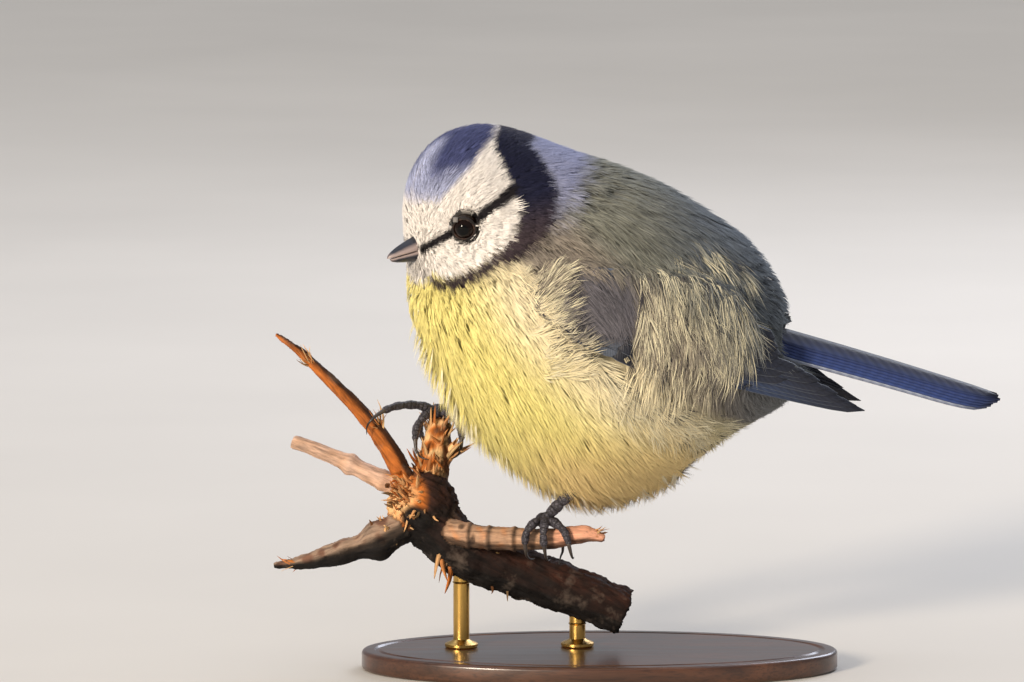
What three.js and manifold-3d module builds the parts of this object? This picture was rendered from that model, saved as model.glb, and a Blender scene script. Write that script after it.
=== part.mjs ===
// A fluffed-up blue tit, life size, gripping a cut length of broken branch on a plain display stand.
// Millimetres, +Z up. The bird faces -X and its left side is -Y. The origin is under the middle of the base.
// Names ending in At are points, Axis directions and R radii. "Forward, left, up" are the head's own axes.
import * as THREE from "three";
import { mergeVertices } from "three/addons/utils/BufferGeometryUtils.js";
import Module from "manifold-3d";

const wasm = await Module();
wasm.setup();

const GAP = 0.3; // kept between touching nodes
const LEFT = -1; // the sign of Y on the bird's left side
const RIGHT = 1;
const vec = (x, y, z) => new THREE.Vector3(x, y, z);
const points = (rows) => rows.map(([x, y, z]) => vec(x, y, z));
const radians = THREE.MathUtils.degToRad;

// Plumage: the outline of the fluffed body, seen from the side and given as x, z.
const BODY_AT = vec(-0.5, 0, 61.7);
const BODY_HALF_WIDTH = 25;
const RUMP_NARROWING = 0.16; // share of the half width lost at the tail end
const BODY_OUTLINE = [
  [-10, 94.4], // nape
  [4, 91.4], // mantle
  [18, 84.4], // back
  [29.3, 75.4], // rump
  [34.8, 63.8], // over the tail
  [35.4, 50.8], // under the tail
  [24, 43], // vent
  [10, 33.8], // rear of the belly
  [-3, 30.7], // belly
  [-14, 36.2], // front of the belly
  [-25, 46], // lower breast
  [-31.6, 58], // breast
  [-34.9, 69], // throat
  [-31, 81], // inside the head from here
  [-21, 90],
];
const BODY_DETAIL = 11; // cuts along each edge of the icosahedron the plumage is made from

// Head: an ellipsoid turned towards the bird's left and bowed a little.
const HEAD_AT = vec(-21.6, -0.5, 85.2);
const HEAD_R = vec(13.6, 12.8, 13.8); // forward, left, up
const HEAD_TURN = 25; // degrees to the left
const HEAD_BOW = 12; // degrees down
const HEAD_DETAIL = 10;
const NECK_BLEND = 7; // width of the smooth meeting of head and body

// Where the plumage is parted: across the neck, measured from the head's middle, and at the rump.
const NECK_STARTS = 3.5;
const NECK_ENDS = 11.5;
const RUMP_CUT_X = 22;

// Face.
const EYE_R = 2.3;
const EYE_AIM = vec(0.606, 0.787, -0.112); // from the head's middle, forward, left, up
const EYE_SINK = 1.3; // how far its middle lies under the plumage
const EYE_DETAIL = 2;
const LID_R = 0.42;
const BILL = {
  base: 10.7, // forward of the head's middle
  tip: 19.9,
  lowerTip: 19.4,
  up: -5.5, // the line of the mouth against the head's middle
  halfWidth: 2.05,
  upperDepth: 2.5,
  lowerDepth: 2.1,
  droop: 0.35, // at the tip
  rows: 9,
  sides: 10,
};
const NOSTRIL = { forward: 13.9, out: 1.75, up: 1.35, r: 0.42 };

// Tail.
const TAIL = {
  rootAt: vec(24.5, 0, 62.9),
  length: 50,
  slope: 15.4, // degrees down towards the tip
  roll: 17, // degrees, the left edge lower
  droop: 1.4, // at the tip
  feathersASide: 6,
  halfWidth: 2.9, // of one feather
  middleOut: 0.9, // how far the middle pair stands off the middle line
  stepOut: 0.5, // from one feather to the next
  stepDown: 0.28,
  innerShorter: 1.2, // the middle pair
  outerShorter: 0.9, // the outermost pair
  quillsUp: -0.8, // middle of the bundle of quills
};
const TAIL_QUILLS = [[0, 2.6, 1.4], [5, 3, 1.6], [10, 2.9, 1.4], [15, 1.6, 0.6]]; // along, half sizes
const TAIL_HOLE = [[-1, 5.6], [6, 5.8], [12, 6.3], [20, 6.9]]; // along, half width
const TAIL_HOLE_HALF_HEIGHT = 2.5;
const TAIL_HOLE_SQUARENESS = 0.6; // 1 is an ellipse

const TAIL_SAMPLES = [0, 0.3, 0.64, 0.88, 1]; // along a feather, as shares of its length

const VANE_THICKNESS = 0.5;

// Perch: where each branch runs, with its radius, in x, y, z, r. All but the first start inside the knot.
const KNOT = { at: vec(-32, 1.4, 29.4), r: vec(6.3, 5.6, 6.5) };
const PERCH = {
  perch_branch: [
    [-32, 1.4, 29, 5.2],
    [-25.6, 2, 21.6, 5],
    [-17, 3, 18, 4.7],
    [-7, 3, 14.4, 4.6],
    [4.6, 3, 9.8, 4.4],
  ],
  perch_twig: [
    [-28.4, -1, 25.6, 2.3],
    [-21.6, -4.2, 24.6, 2.2],
    [-14.4, -6, 24.5, 2.1],
    [-8.1, -8, 24.9, 1.95],
    [-2.4, -9.6, 26, 1.6],
    [0.8, -10.4, 25.2, 0.7],
  ],
  perch_stub: [
    [-31.4, 2.2, 31, 3.5],
    [-29.8, 4.8, 38, 3],
    [-28.9, 7, 44, 2.1],
  ],
  perch_sliver: [
    [-33.6, 1, 31, 2],
    [-37, 1, 38.2, 1.9],
    [-40, 1, 42.8, 1.6],
    [-44.3, 1, 48, 1.4],
    [-49, 1, 52.7, 1.15],
    [-54, 1, 57.6, 0.8],
    [-58.4, 1, 60.8, 0.35],
  ],
  perch_snag: [
    [-34, 0.4, 27, 3.2],
    [-39.6, 0, 23.4, 3.1],
    [-45.4, 0, 21.6, 2.5],
    [-52, 0, 19.6, 1.6],
    [-59, 0, 18.8, 0.5],
  ],
  perch_spur: [
    [-33.4, 2.4, 31.2, 2],
    [-40.4, 3.8, 34.4, 1.8],
    [-49, 5, 38.4, 1.45],
    [-55.6, 6, 40.6, 1.3],
  ],
};
const PERCH_SIDES = 9;

// Legs: the tarsus from the foot up into the plumage, and each toe with its claw, as points.
const TARSUS_R = 0.9;
const TOE_R = [0.8, 0.62];
const CLAW_R = [0.48, 0.1];
const ANKLE_R = 1.6; // ball where the toes meet
const FEET = {
  left: {
    pad: vec(-10.2, -7.5, 28.2),
    hock: vec(-1.8, -8.4, 37),
    toes: {
      inner: {
        toe: [[-11.8, -9.4, 28], [-13.2, -10.3, 26.4], [-13.6, -10.2, 24]],
        claw: [[-13.3, -9.4, 22.3], [-12.6, -8.1, 21.2], [-11.8, -6.8, 21.1]],
      },
      middle: {
        toe: [[-10, -9.8, 28], [-10.2, -11.2, 26.2], [-10.1, -11, 23.8]],
        claw: [[-9.8, -10, 22], [-9.4, -8.6, 21], [-9, -7.2, 21]],
      },
      outer: {
        toe: [[-8.2, -9.8, 28], [-6.4, -11.2, 26.6], [-5.6, -11.5, 24.2]],
        claw: [[-5.2, -10.7, 22.4], [-4.9, -9.2, 21.5], [-4.7, -7.7, 21.5]],
      },
      hind: {
        toe: [[-9, -6, 28], [-7.4, -4.8, 26.8], [-6.6, -4.7, 24.2]],
        claw: [[-6.7, -5.4, 22.4], [-7.1, -6.1, 21.3], [-7.4, -6.6, 19.9]],
      },
    },
  },
  right: {
    pad: vec(-29.2, 7, 46),
    hock: vec(-20, 8.4, 51.5),
    toes: {
      inner: {
        toe: [[-31.2, 5.2, 45.8], [-33, 4, 43.6], [-33.4, 3.2, 41]],
        claw: [[-33.1, 2.4, 39.4], [-32.2, 1.5, 38.3], [-30.9, 0.9, 38]],
      },
      middle: {
        toe: [[-33, 4.8, 47.4], [-37.2, 1.2, 47.6], [-40.4, -1.6, 47.2]],
        claw: [[-42.2, -2.2, 46.2], [-43.6, -1.8, 44.8], [-43.8, -0.8, 43.1]],
      },
      outer: {
        toe: [[-31.2, 9.2, 45.4], [-32.6, 10.6, 43], [-32.2, 11, 40.5]],
        claw: [[-31.4, 10.8, 39], [-30.3, 10.1, 38], [-29.1, 9.7, 37.4]],
      },
      hind: {
        toe: [[-27, 5.4, 45.6], [-25.2, 4.4, 43.6], [-24.9, 3.8, 41]],
        claw: [[-25.1, 3, 39.5], [-25.8, 1.9, 38.5], [-26.9, 0.9, 38.1]],
      },
    },
  },
};

// Display stand.
const BASE = { halfLength: 43, halfDepth: 22, thickness: 3.6, bevel: 0.8 };
const ROD_R = 1.5;
const RODS = [
  { name: "stand_rod_front", x: -25, y: 2, top: 24 },
  { name: "stand_rod_rear", x: -4, y: 3, top: 16 },
];

// Folded wing, as x, z seen from the side. Each tier fans from its line of roots to its line of tips,
// from the lowest feather to the highest. Lift is how far the tier lies over the wing's bed, rise how
// much further each feather lies than the one below it, and notch how deep the gaps between tips are.
const WING_TIERS = {
  primaries: {
    count: 6, samples: [0, 0.3, 0.65, 1], lift: 0, rise: 0.08, notch: 3.4,
    root: [[4, 57.6], [13, 62.4]],
    tip: [[48, 46.4], [33.4, 55.4]],
  },
  secondaries: {
    count: 4, samples: [0, 0.5, 1], lift: 0.6, rise: 0.08, notch: 2,
    root: [[6, 59], [14.6, 68]],
    tip: [[32.6, 51.4], [31, 61.4]],
  },
  tertials: {
    count: 3, samples: [0, 0.5, 1], lift: 1, rise: 0.1, notch: 2.4,
    root: [[12.6, 66], [15.4, 73.6]],
    tip: [[31.4, 59.4], [24.4, 68.6]],
  },
  greaterCoverts: {
    count: 5, samples: [0, 0.5, 1], lift: 1.2, rise: 0.08, notch: 1.8,
    root: [[0, 61.6], [8.6, 75.8]],
    tip: [[9.4, 57], [20.4, 71.4]],
  },
  medianCoverts: {
    count: 4, samples: [0, 0.5, 1], lift: 1.8, rise: 0.06, notch: 1.4,
    root: [[-8, 66], [2, 78]],
    tip: [[2.6, 60.6], [12.4, 74.6]],
  },
};
const FEATHER_EDGES = [[0.04, 0], [0.36, 1], [0.64, 1], [0.96, 0]]; // share across, and 1 at the tip
const FEATHER_STEP = 0.4; // how far a feather's lower edge stands over the one below it
const WING_SAG = 0.035; // how far a feather bends towards the lower edge, as a share of its length
const WING_TRAIL = { fromX: 14, fromY: 20, toX: 47, toY: 7 }; // the line it keeps past the body
const WING_LEAN = { aboveZ: 56, share: 0.25 }; // how that line comes in higher up
const WING_CLEARANCE = 0.95; // from the body's plumage, measured sideways
const WRIST = { x: -5, z: 70, halfLength: 7.2, halfHeight: 5.6, slant: 2.8, sides: 12 };
const WRIST_LAYERS = [[0.4, 0], [1, 0.5], [1, 1.6], [0.8, 2.6], [0.4, 3.2]]; // share of its size, lift

const FINISH = {
  cap: { color: 0x5f7390, roughness: 0.85 },
  neck: { color: 0x39405a, roughness: 0.85 },
  yellow: { color: 0xd9c56a, roughness: 0.9 },
  back: { color: 0x7d8878, roughness: 0.9 },
  wing: { color: 0x4f5f78, roughness: 0.7 },
  tail: { color: 0x3d5280, roughness: 0.6 },
  eye: { color: 0x0c0a0a, roughness: 0.05 },
  bill: { color: 0x3b3b43, roughness: 0.4 },
  leg: { color: 0x4a4a55, roughness: 0.55 },
  claw: { color: 0x2a2826, roughness: 0.4 },
  wood: { color: 0x5b4233, roughness: 0.95 },
  stand: { color: 0x6b4a2e, roughness: 0.45 },
};

// Joining and cutting.
function solid(geometry) {
  const plain = geometry.index ? geometry.toNonIndexed() : geometry.clone();
  for (const key of Object.keys(plain.attributes)) {
    if (key !== "position") plain.deleteAttribute(key);
  }
  const merged = mergeVertices(plain, 1e-4);
  return new wasm.Manifold(new wasm.Mesh({
    numProp: 3,
    vertProperties: merged.attributes.position.array,
    triVerts: new Uint32Array(merged.index.array),
  }));
}

function union(pieces) {
  return pieces.reduce((whole, piece) => whole.add(piece));
}

function largest(whole) {
  return whole.decompose().reduce((a, b) => (b.volume() > a.volume() ? b : a));
}

const model = new THREE.Group();

function node(name, whole, finish) {
  const mesh = largest(whole).getMesh();
  const geometry = new THREE.BufferGeometry();
  geometry.setAttribute("position", new THREE.BufferAttribute(new Float32Array(mesh.vertProperties), 3));
  geometry.setIndex(new THREE.BufferAttribute(new Uint32Array(mesh.triVerts), 1));
  geometry.computeVertexNormals();
  const material = new THREE.MeshStandardMaterial({ ...FINISH[finish], metalness: 0 });
  const made = new THREE.Mesh(geometry, material);
  made.name = name;
  model.add(made);
}

function ball(at, r, detail) {
  return solid(new THREE.IcosahedronGeometry(r, detail).translate(at.x, at.y, at.z));
}

function facingOut(vertices, index) {
  const geometry = new THREE.BufferGeometry().setFromPoints(vertices);
  geometry.setIndex(index);
  const made = solid(geometry);
  if (made.volume() > 0) return made;
  geometry.setIndex(index.reverse());
  return solid(geometry);
}

// A closed surface from rows of points, each row a ring of the same length, ends capped by a fan.
function skinOf(rings) {
  const count = rings[0].length;
  const vertices = rings.flat();
  const index = [];
  for (let i = 0; i + 1 < rings.length; i++) {
    for (let j = 0; j < count; j++) {
      const a = i * count + j;
      const b = i * count + ((j + 1) % count);
      index.push(a, b, b + count, a, b + count, a + count);
    }
  }
  const centre = (ring) => ring.reduce((sum, p) => sum.add(p), vec(0, 0, 0)).divideScalar(count);
  const first = vertices.push(centre(rings[0])) - 1;
  const last = vertices.push(centre(rings.at(-1))) - 1;
  const lastRow = (rings.length - 1) * count;
  for (let j = 0; j < count; j++) {
    const k = (j + 1) % count;
    index.push(first, k, j, last, lastRow + j, lastRow + k);
  }
  return facingOut(vertices, index);
}

// A closed sheet between two grids of points of the same size, both split into triangles alike.
function sheet(top, under) {
  const rows = top.length;
  const columns = top[0].length;
  const at = (face, i, j) => (face * rows + i) * columns + j;
  const index = [];
  const quad = (a, b, c, d) => index.push(a, b, c, a, c, d);
  for (let i = 0; i + 1 < rows; i++) {
    for (let j = 0; j + 1 < columns; j++) {
      quad(at(0, i, j), at(0, i, j + 1), at(0, i + 1, j + 1), at(0, i + 1, j));
      quad(at(1, i, j), at(1, i + 1, j), at(1, i + 1, j + 1), at(1, i, j + 1));
    }
    quad(at(0, i, 0), at(0, i + 1, 0), at(1, i + 1, 0), at(1, i, 0));
    const j = columns - 1;
    quad(at(0, i, j), at(1, i, j), at(1, i + 1, j), at(0, i + 1, j));
  }
  for (let j = 0; j + 1 < columns; j++) {
    const i = rows - 1;
    quad(at(0, 0, j), at(1, 0, j), at(1, 0, j + 1), at(0, 0, j + 1));
    quad(at(0, i, j), at(0, i, j + 1), at(1, i, j + 1), at(1, i, j));
  }
  return facingOut([...top.flat(), ...under.flat()], index);
}

// A round tapered tube through points, with a radius for each, grown all round if asked.
function limb(way, radii, { sides = 8, steps = 2, grown = 0 } = {}) {
  const curve = new THREE.CatmullRomCurve3(way);
  const total = (way.length - 1) * steps;
  const rings = [];
  let side = vec(0, 1, 0);
  for (let i = 0; i <= total; i++) {
    const t = i / total;
    const span = Math.min(way.length - 2, Math.floor(t * (way.length - 1)));
    const part = t * (way.length - 1) - span;
    const r = radii[span] * (1 - part) + radii[span + 1] * part + grown;
    const at = curve.getPoint(t);
    const along = curve.getTangent(t);
    if (i === 0) at.addScaledVector(along, -grown);
    if (i === total) at.addScaledVector(along, grown);
    side = side.clone().addScaledVector(along, -side.dot(along)).normalize();
    const other = along.clone().cross(side);
    rings.push(Array.from({ length: sides }, (_, j) => {
      const a = (2 * Math.PI * j) / sides;
      return at.clone().addScaledVector(side, r * Math.cos(a)).addScaledVector(other, r * Math.sin(a));
    }));
  }
  return skinOf(rings);
}

// Head axes.
const turn = radians(HEAD_TURN);
const bow = radians(HEAD_BOW);
const HEAD_FORWARD = vec(-Math.cos(turn) * Math.cos(bow), -Math.sin(turn) * Math.cos(bow), -Math.sin(bow));
const HEAD_LEFT = vec(Math.sin(turn), -Math.cos(turn), 0);
const HEAD_UP = HEAD_FORWARD.clone().cross(HEAD_LEFT);

function fromHead(forward, left, up) {
  return HEAD_AT.clone()
    .addScaledVector(HEAD_FORWARD, forward)
    .addScaledVector(HEAD_LEFT, left)
    .addScaledVector(HEAD_UP, up);
}

// The plumage as a field that is negative inside and about a distance near its surface.
const outline = new THREE.CatmullRomCurve3(BODY_OUTLINE.map(([x, z]) => vec(x, 0, z)), true);
const reach = outline.getPoints(720).map((p) => {
  const d = p.sub(BODY_AT);
  return { angle: Math.atan2(d.z, d.x), r: Math.hypot(d.x, d.z) };
}).sort((a, b) => a.angle - b.angle);

function outlineReach(angle) {
  let low = 0;
  let high = reach.length - 1;
  if (angle <= reach[low].angle || angle >= reach[high].angle) return reach[low].r;
  while (high - low > 1) {
    const mid = (low + high) >> 1;
    if (reach[mid].angle <= angle) low = mid;
    else high = mid;
  }
  const part = (angle - reach[low].angle) / (reach[high].angle - reach[low].angle);
  return reach[low].r * (1 - part) + reach[high].r * part;
}

function bodyField(p) {
  const d = p.clone().sub(BODY_AT);
  const rear = THREE.MathUtils.smoothstep(d.x, 0, 36);
  const width = BODY_HALF_WIDTH * (1 - RUMP_NARROWING * rear);
  const share = Math.hypot(d.x, d.z) / outlineReach(Math.atan2(d.z, d.x));
  return (Math.hypot(share, d.y / width) - 1) * BODY_HALF_WIDTH;
}

function headField(p) {
  const d = p.clone().sub(HEAD_AT);
  const scaled = vec(d.dot(HEAD_FORWARD), d.dot(HEAD_LEFT), d.dot(HEAD_UP)).divide(HEAD_R);
  return (scaled.length() - 1) * HEAD_R.y;
}

function plumage(p) {
  const body = bodyField(p);
  const head = headField(p);
  const near = Math.max(NECK_BLEND - Math.abs(body - head), 0) / NECK_BLEND;
  return Math.min(body, head) - (near * near * NECK_BLEND) / 4;
}

// The last point inside the plumage, grown by a distance, along a ray from a point inside it.
function plumageHit(from, towards, grown = 0) {
  const at = (far) => from.clone().addScaledVector(towards, far);
  let high = 1;
  while (plumage(at(high)) < grown) high += 2;
  let low = Math.max(0, high - 2);
  for (let i = 0; i < 12; i++) {
    const mid = (low + high) / 2;
    if (plumage(at(mid)) < grown) low = mid;
    else high = mid;
  }
  return at(low);
}

function plumageSolid(from, detail, grown = 0) {
  const geometry = mergeVertices(new THREE.IcosahedronGeometry(1, detail).deleteAttribute("normal")
    .deleteAttribute("uv"), 1e-5);
  const position = geometry.getAttribute("position");
  const towards = vec(0, 0, 0);
  for (let i = 0; i < position.count; i++) {
    towards.fromBufferAttribute(position, i).normalize();
    position.setXYZ(i, ...plumageHit(from, towards, grown).toArray());
  }
  return solid(geometry);
}

// Body: head, neck, torso and rump, parted by flat cuts.
const wholeBody = plumageSolid(BODY_AT, BODY_DETAIL);
const grownBody = plumageSolid(BODY_AT, BODY_DETAIL, GAP);
const fineHead = plumageSolid(HEAD_AT, HEAD_DETAIL);
const grownHead = plumageSolid(HEAD_AT, HEAD_DETAIL, GAP);
const neckAxis = BODY_AT.clone().sub(HEAD_AT).normalize();

// All that lies between two distances along an axis from a point.
function slab(at, axis, from, to) {
  const size = 200;
  const box = new THREE.BoxGeometry(size, size, to - from).translate(0, 0, (from + to) / 2);
  box.applyQuaternion(new THREE.Quaternion().setFromUnitVectors(vec(0, 0, 1), axis));
  return solid(box.translate(at.x, at.y, at.z));
}

function eyeAt(side) {
  const towards = fromHead(EYE_AIM.x, -side * EYE_AIM.y, EYE_AIM.z).sub(HEAD_AT).normalize();
  const surface = plumageHit(HEAD_AT, towards);
  return { at: surface.addScaledVector(towards, -EYE_SINK), towards };
}

function lidRing({ at, towards }) {
  const opening = Math.sqrt(EYE_R * EYE_R - EYE_SINK * EYE_SINK);
  const ring = new THREE.TorusGeometry(opening + LID_R * 0.6, LID_R, 5, 18);
  ring.lookAt(towards);
  const middle = at.clone().addScaledVector(towards, EYE_SINK);
  return solid(ring.translate(middle.x, middle.y, middle.z));
}

// One half of the bill, from inside the face to its tip. Sign +1 is the upper half and -1 the lower.
function billHalf(sign, tip, depth) {
  const rings = [];
  for (let i = 0; i <= BILL.rows; i++) {
    const t = i / BILL.rows;
    const forward = BILL.base + (tip - BILL.base) * t;
    const taper = Math.sqrt(1 - t ** 1.7) * (1 - 0.25 * t) + 0.07;
    const middle = BILL.up - BILL.droop * t * t;
    rings.push(Array.from({ length: BILL.sides + 1 }, (_, j) => {
      const a = (Math.PI * j) / BILL.sides;
      const rise = depth * taper * Math.sin(a) ** 0.8 + GAP / 2;
      return fromHead(forward, BILL.halfWidth * taper * Math.cos(a), middle + sign * rise);
    }));
  }
  return skinOf(rings);
}

const eyes = { left: eyeAt(LEFT), right: eyeAt(RIGHT) };
const eyeSockets = Object.values(eyes).map(({ at }) => ball(at, EYE_R + GAP, EYE_DETAIL));
const lids = Object.values(eyes).map(lidRing);
const headPart = fineHead.intersect(slab(HEAD_AT, neckAxis, -60, NECK_STARTS));
node("head", union([headPart, ...lids]).subtract(union(eyeSockets)), "cap");
for (const [name, { at }] of Object.entries(eyes)) node("eye_" + name, ball(at, EYE_R, EYE_DETAIL), "eye");

const nostrils = [LEFT, RIGHT].map((side) => {
  return ball(fromHead(NOSTRIL.forward, side * NOSTRIL.out, BILL.up + NOSTRIL.up), NOSTRIL.r, 1);
});
const upperHalf = billHalf(1, BILL.tip, BILL.upperDepth);
node("bill_upper", upperHalf.subtract(grownHead).subtract(union(nostrils)), "bill");
node("bill_lower", billHalf(-1, BILL.lowerTip, BILL.lowerDepth).subtract(grownHead), "bill");
node("neck", wholeBody.intersect(slab(HEAD_AT, neckAxis, NECK_STARTS + GAP, NECK_ENDS)), "neck");

// Tail.
const tailAlong = vec(Math.cos(radians(TAIL.slope)), 0, -Math.sin(radians(TAIL.slope)));
const tailSide = vec(0, 1, 0).applyAxisAngle(tailAlong, -radians(TAIL.roll));
const tailUp = tailAlong.clone().cross(tailSide);

function onTail(along, side, up) {
  return TAIL.rootAt.clone()
    .addScaledVector(tailAlong, along)
    .addScaledVector(tailSide, side)
    .addScaledVector(tailUp, up);
}

function oval(along, halfWidth, halfHeight, up, squareness = 1) {
  const sides = 12;
  const push = (share) => Math.sign(share) * Math.abs(share) ** squareness;
  return Array.from({ length: sides }, (_, j) => {
    const a = (2 * Math.PI * j) / sides;
    return onTail(along, halfWidth * push(Math.cos(a)), up + halfHeight * push(Math.sin(a)));
  });
}

// Half width of a feather as a share of its greatest: narrow at the root, rounded at the tip.
function featherShape(s) {
  const root = 0.6 + 0.4 * Math.min(1, s / 0.25);
  const pastShoulder = Math.max(0, (s - 0.62) / 0.38);
  return root * Math.sqrt(Math.max(0.02, 1 - pastShoulder ** 2));
}

// Two fans of feathers that step down and out from the middle pair.
function tailSolid() {
  const feathers = [];
  for (const side of [LEFT, RIGHT]) {
    for (let k = 0; k < TAIL.feathersASide; k++) {
      const inner = k === 0 ? TAIL.innerShorter : 0;
      const outer = k === TAIL.feathersASide - 1 ? TAIL.outerShorter : 0;
      const length = TAIL.length - inner - outer;
      const down = k * TAIL.stepDown + (side === RIGHT ? TAIL.stepDown / 2 : 0);
      const face = (offset) => TAIL_SAMPLES.map((s) => [-1, 0, 1].map((t) => {
        const out = side * (TAIL.middleOut + k * TAIL.stepOut * (0.7 + 0.3 * s));
        const across = out + t * TAIL.halfWidth * featherShape(s);
        const arch = 0.22 * (1 - t * t) - 0.012 * across * across;
        return onTail(s * length, across, arch + offset - down - TAIL.droop * s * s);
      }));
      feathers.push(sheet(face(VANE_THICKNESS), face(0)));
    }
  }
  const quills = TAIL_QUILLS.map(([along, halfWidth, halfHeight]) => {
    return oval(along, halfWidth, halfHeight, TAIL.quillsUp);
  });
  return union([skinOf(quills), ...feathers]);
}
const tailHole = skinOf(TAIL_HOLE.map(([along, halfWidth]) => {
  return oval(along, halfWidth, TAIL_HOLE_HALF_HEIGHT, TAIL.quillsUp, TAIL_HOLE_SQUARENESS);
}));

// Wing: over a bed that follows the body and then runs straight to the tip.
function flankAt(x, z, side) {
  const from = vec(x, 0, z);
  if (plumage(from) >= 0) return 0;
  return Math.abs(plumageHit(from, vec(0, side, 0)).y);
}

function wingBed(x, z, side) {
  const { fromX, fromY, toX, toY } = WING_TRAIL;
  const lean = WING_LEAN.share * Math.max(0, z - WING_LEAN.aboveZ);
  const straight = fromY + ((toY - fromY) * (x - fromX)) / (toX - fromX) - lean;
  const body = flankAt(x, z, side) + WING_CLEARANCE;
  return x > fromX ? Math.max(body, straight) : body;
}

// One tier as a stepped sheet with notched tips, each feather lapping over the one below it.
function tierSheet(tier, side) {
  const lerp = ([from, to], share) => from.map((value, axis) => value + (to[axis] - value) * share);
  const columns = [];
  for (let k = 0; k < tier.count; k++) {
    for (const [edge, tip] of FEATHER_EDGES) {
      const root = lerp(tier.root, (k + edge) / tier.count);
      const end = lerp(tier.tip, (k + edge) / tier.count);
      const along = [end[0] - root[0], end[1] - root[1]];
      const length = Math.hypot(...along);
      const reachShare = tip ? 1 : 1 - tier.notch / length;
      columns.push({ root, along, reachShare, lift: k * tier.rise + FEATHER_STEP * (1 - edge) });
    }
  }
  const face = (offset) => tier.samples.map((sample) => columns.map(({ root, along, reachShare, lift }) => {
    const s = sample * reachShare;
    const sag = WING_SAG * Math.sin(Math.PI * s);
    const x = root[0] + along[0] * s + along[1] * sag;
    const z = root[1] + along[1] * s - along[0] * sag;
    return vec(x, side * (wingBed(x, z, side) + tier.lift * (1 - 0.45 * s) + lift + offset), z);
  }));
  return sheet(face(VANE_THICKNESS), face(0));
}

function wingSolid(side) {
  const tiers = Object.values(WING_TIERS).map((tier) => tierSheet(tier, side));
  const wrist = WRIST_LAYERS.map(([share, lift]) => Array.from({ length: WRIST.sides }, (_, j) => {
    const a = (2 * Math.PI * j) / WRIST.sides;
    const x = WRIST.x + share * (WRIST.halfLength * Math.cos(a) + WRIST.slant * Math.sin(a));
    const z = WRIST.z + share * WRIST.halfHeight * Math.sin(a);
    return vec(x, side * (wingBed(x, z, side) + lift), z);
  }));
  return union([...tiers, skinOf(wrist)]);
}

// Perch, parted where its branches leave the knot.
function perchPiece(name, grown = 0) {
  const rows = PERCH[name];
  return limb(points(rows), rows.map((row) => row[3]), { sides: PERCH_SIDES, grown });
}

function branch(grown = 0) {
  const { at, r } = KNOT;
  const knot = new THREE.IcosahedronGeometry(1, 3).scale(r.x + grown, r.y + grown, r.z + grown);
  return union([perchPiece("perch_branch", grown), solid(knot.translate(at.x, at.y, at.z))]);
}

const offshoots = Object.keys(PERCH).slice(1);
const perchGrown = union([branch(GAP), ...offshoots.map((name) => perchPiece(name, GAP))]);
node("perch_branch", branch(), "wood");
offshoots.forEach((name, i) => {
  const earlier = offshoots.slice(0, i).map((other) => perchPiece(other, GAP));
  node(name, perchPiece(name).subtract(union([branch(GAP), ...earlier])), "wood");
});

// Legs and feet.
function taper([from, to], count) {
  return Array.from({ length: count }, (_, i) => from + ((to - from) * i) / (count - 1));
}

for (const [name, { pad, hock, toes }] of Object.entries(FEET)) {
  const tarsus = limb([pad, pad.clone().lerp(hock, 0.5), hock], [TARSUS_R, TARSUS_R, TARSUS_R * 1.25]);
  node("leg_" + name, tarsus.subtract(grownBody).subtract(ball(pad, ANKLE_R + GAP, 2)), "leg");
  const spread = Object.values(toes).map(({ toe }) => {
    return limb([pad, ...points(toe)], taper(TOE_R, toe.length + 1), { sides: 6 });
  });
  const foot = union([ball(pad, ANKLE_R, 2), ...spread]).subtract(perchGrown);
  node("foot_" + name, foot.subtract(grownBody), "leg");
  for (const [toeName, { toe, claw }] of Object.entries(toes)) {
    const end = points(toe).at(-1);
    const rest = points(claw);
    const start = end.clone().lerp(rest[0], (GAP + 0.1) / end.distanceTo(rest[0]));
    const nail = limb([start, ...rest], taper(CLAW_R, rest.length + 1), { sides: 5 });
    node("claw_" + name + "_" + toeName, nail.subtract(perchGrown), "claw");
  }
}

// Torso, rump, tail and wings.
const trunk = wholeBody.intersect(slab(HEAD_AT, neckAxis, NECK_ENDS + GAP, 120));
const xAxis = vec(1, 0, 0);
const rumpCut = vec(RUMP_CUT_X, 0, BODY_AT.z);
node("torso", trunk.intersect(slab(rumpCut, xAxis, -120, 0)), "yellow");
node("rump", trunk.intersect(slab(rumpCut, xAxis, GAP, 60)).subtract(tailHole), "back");
node("tail", tailSolid(), "tail");
node("wing_left", wingSolid(LEFT).subtract(grownBody), "wing");
node("wing_right", wingSolid(RIGHT).subtract(grownBody), "wing");

// Stand.
const baseRound = new THREE.Shape().absellipse(
  0, 0, BASE.halfLength - BASE.bevel, BASE.halfDepth - BASE.bevel, 0, 2 * Math.PI,
);
const baseGeometry = new THREE.ExtrudeGeometry(baseRound, {
  depth: BASE.thickness - 2 * BASE.bevel,
  bevelThickness: BASE.bevel,
  bevelSize: BASE.bevel,
  bevelSegments: 2,
  curveSegments: 18,
}).translate(0, 0, BASE.bevel);
node("stand_base", solid(baseGeometry), "stand");
for (const { name, x, y, top } of RODS) {
  const foot = BASE.thickness + GAP;
  const rod = new THREE.CylinderGeometry(ROD_R, ROD_R, top - foot, 14).rotateX(Math.PI / 2);
  node(name, solid(rod.translate(x, y, (foot + top) / 2)).subtract(perchGrown), "stand");
}

export default model;
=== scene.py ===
"""A fluffed-up blue tit on a broken branch: its plumage, bare parts, perch and stand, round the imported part.

Sizes are in millimetres and are turned into metres where a mesh is made. The bird faces -X and its left
side is -Y. The head has its own axes, forward, left and up, and its markings lie on a chart of two angles.
"""

import math

import bpy
import numpy as np
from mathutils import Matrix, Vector, noise
from mathutils.bvhtree import BVHTree


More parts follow.
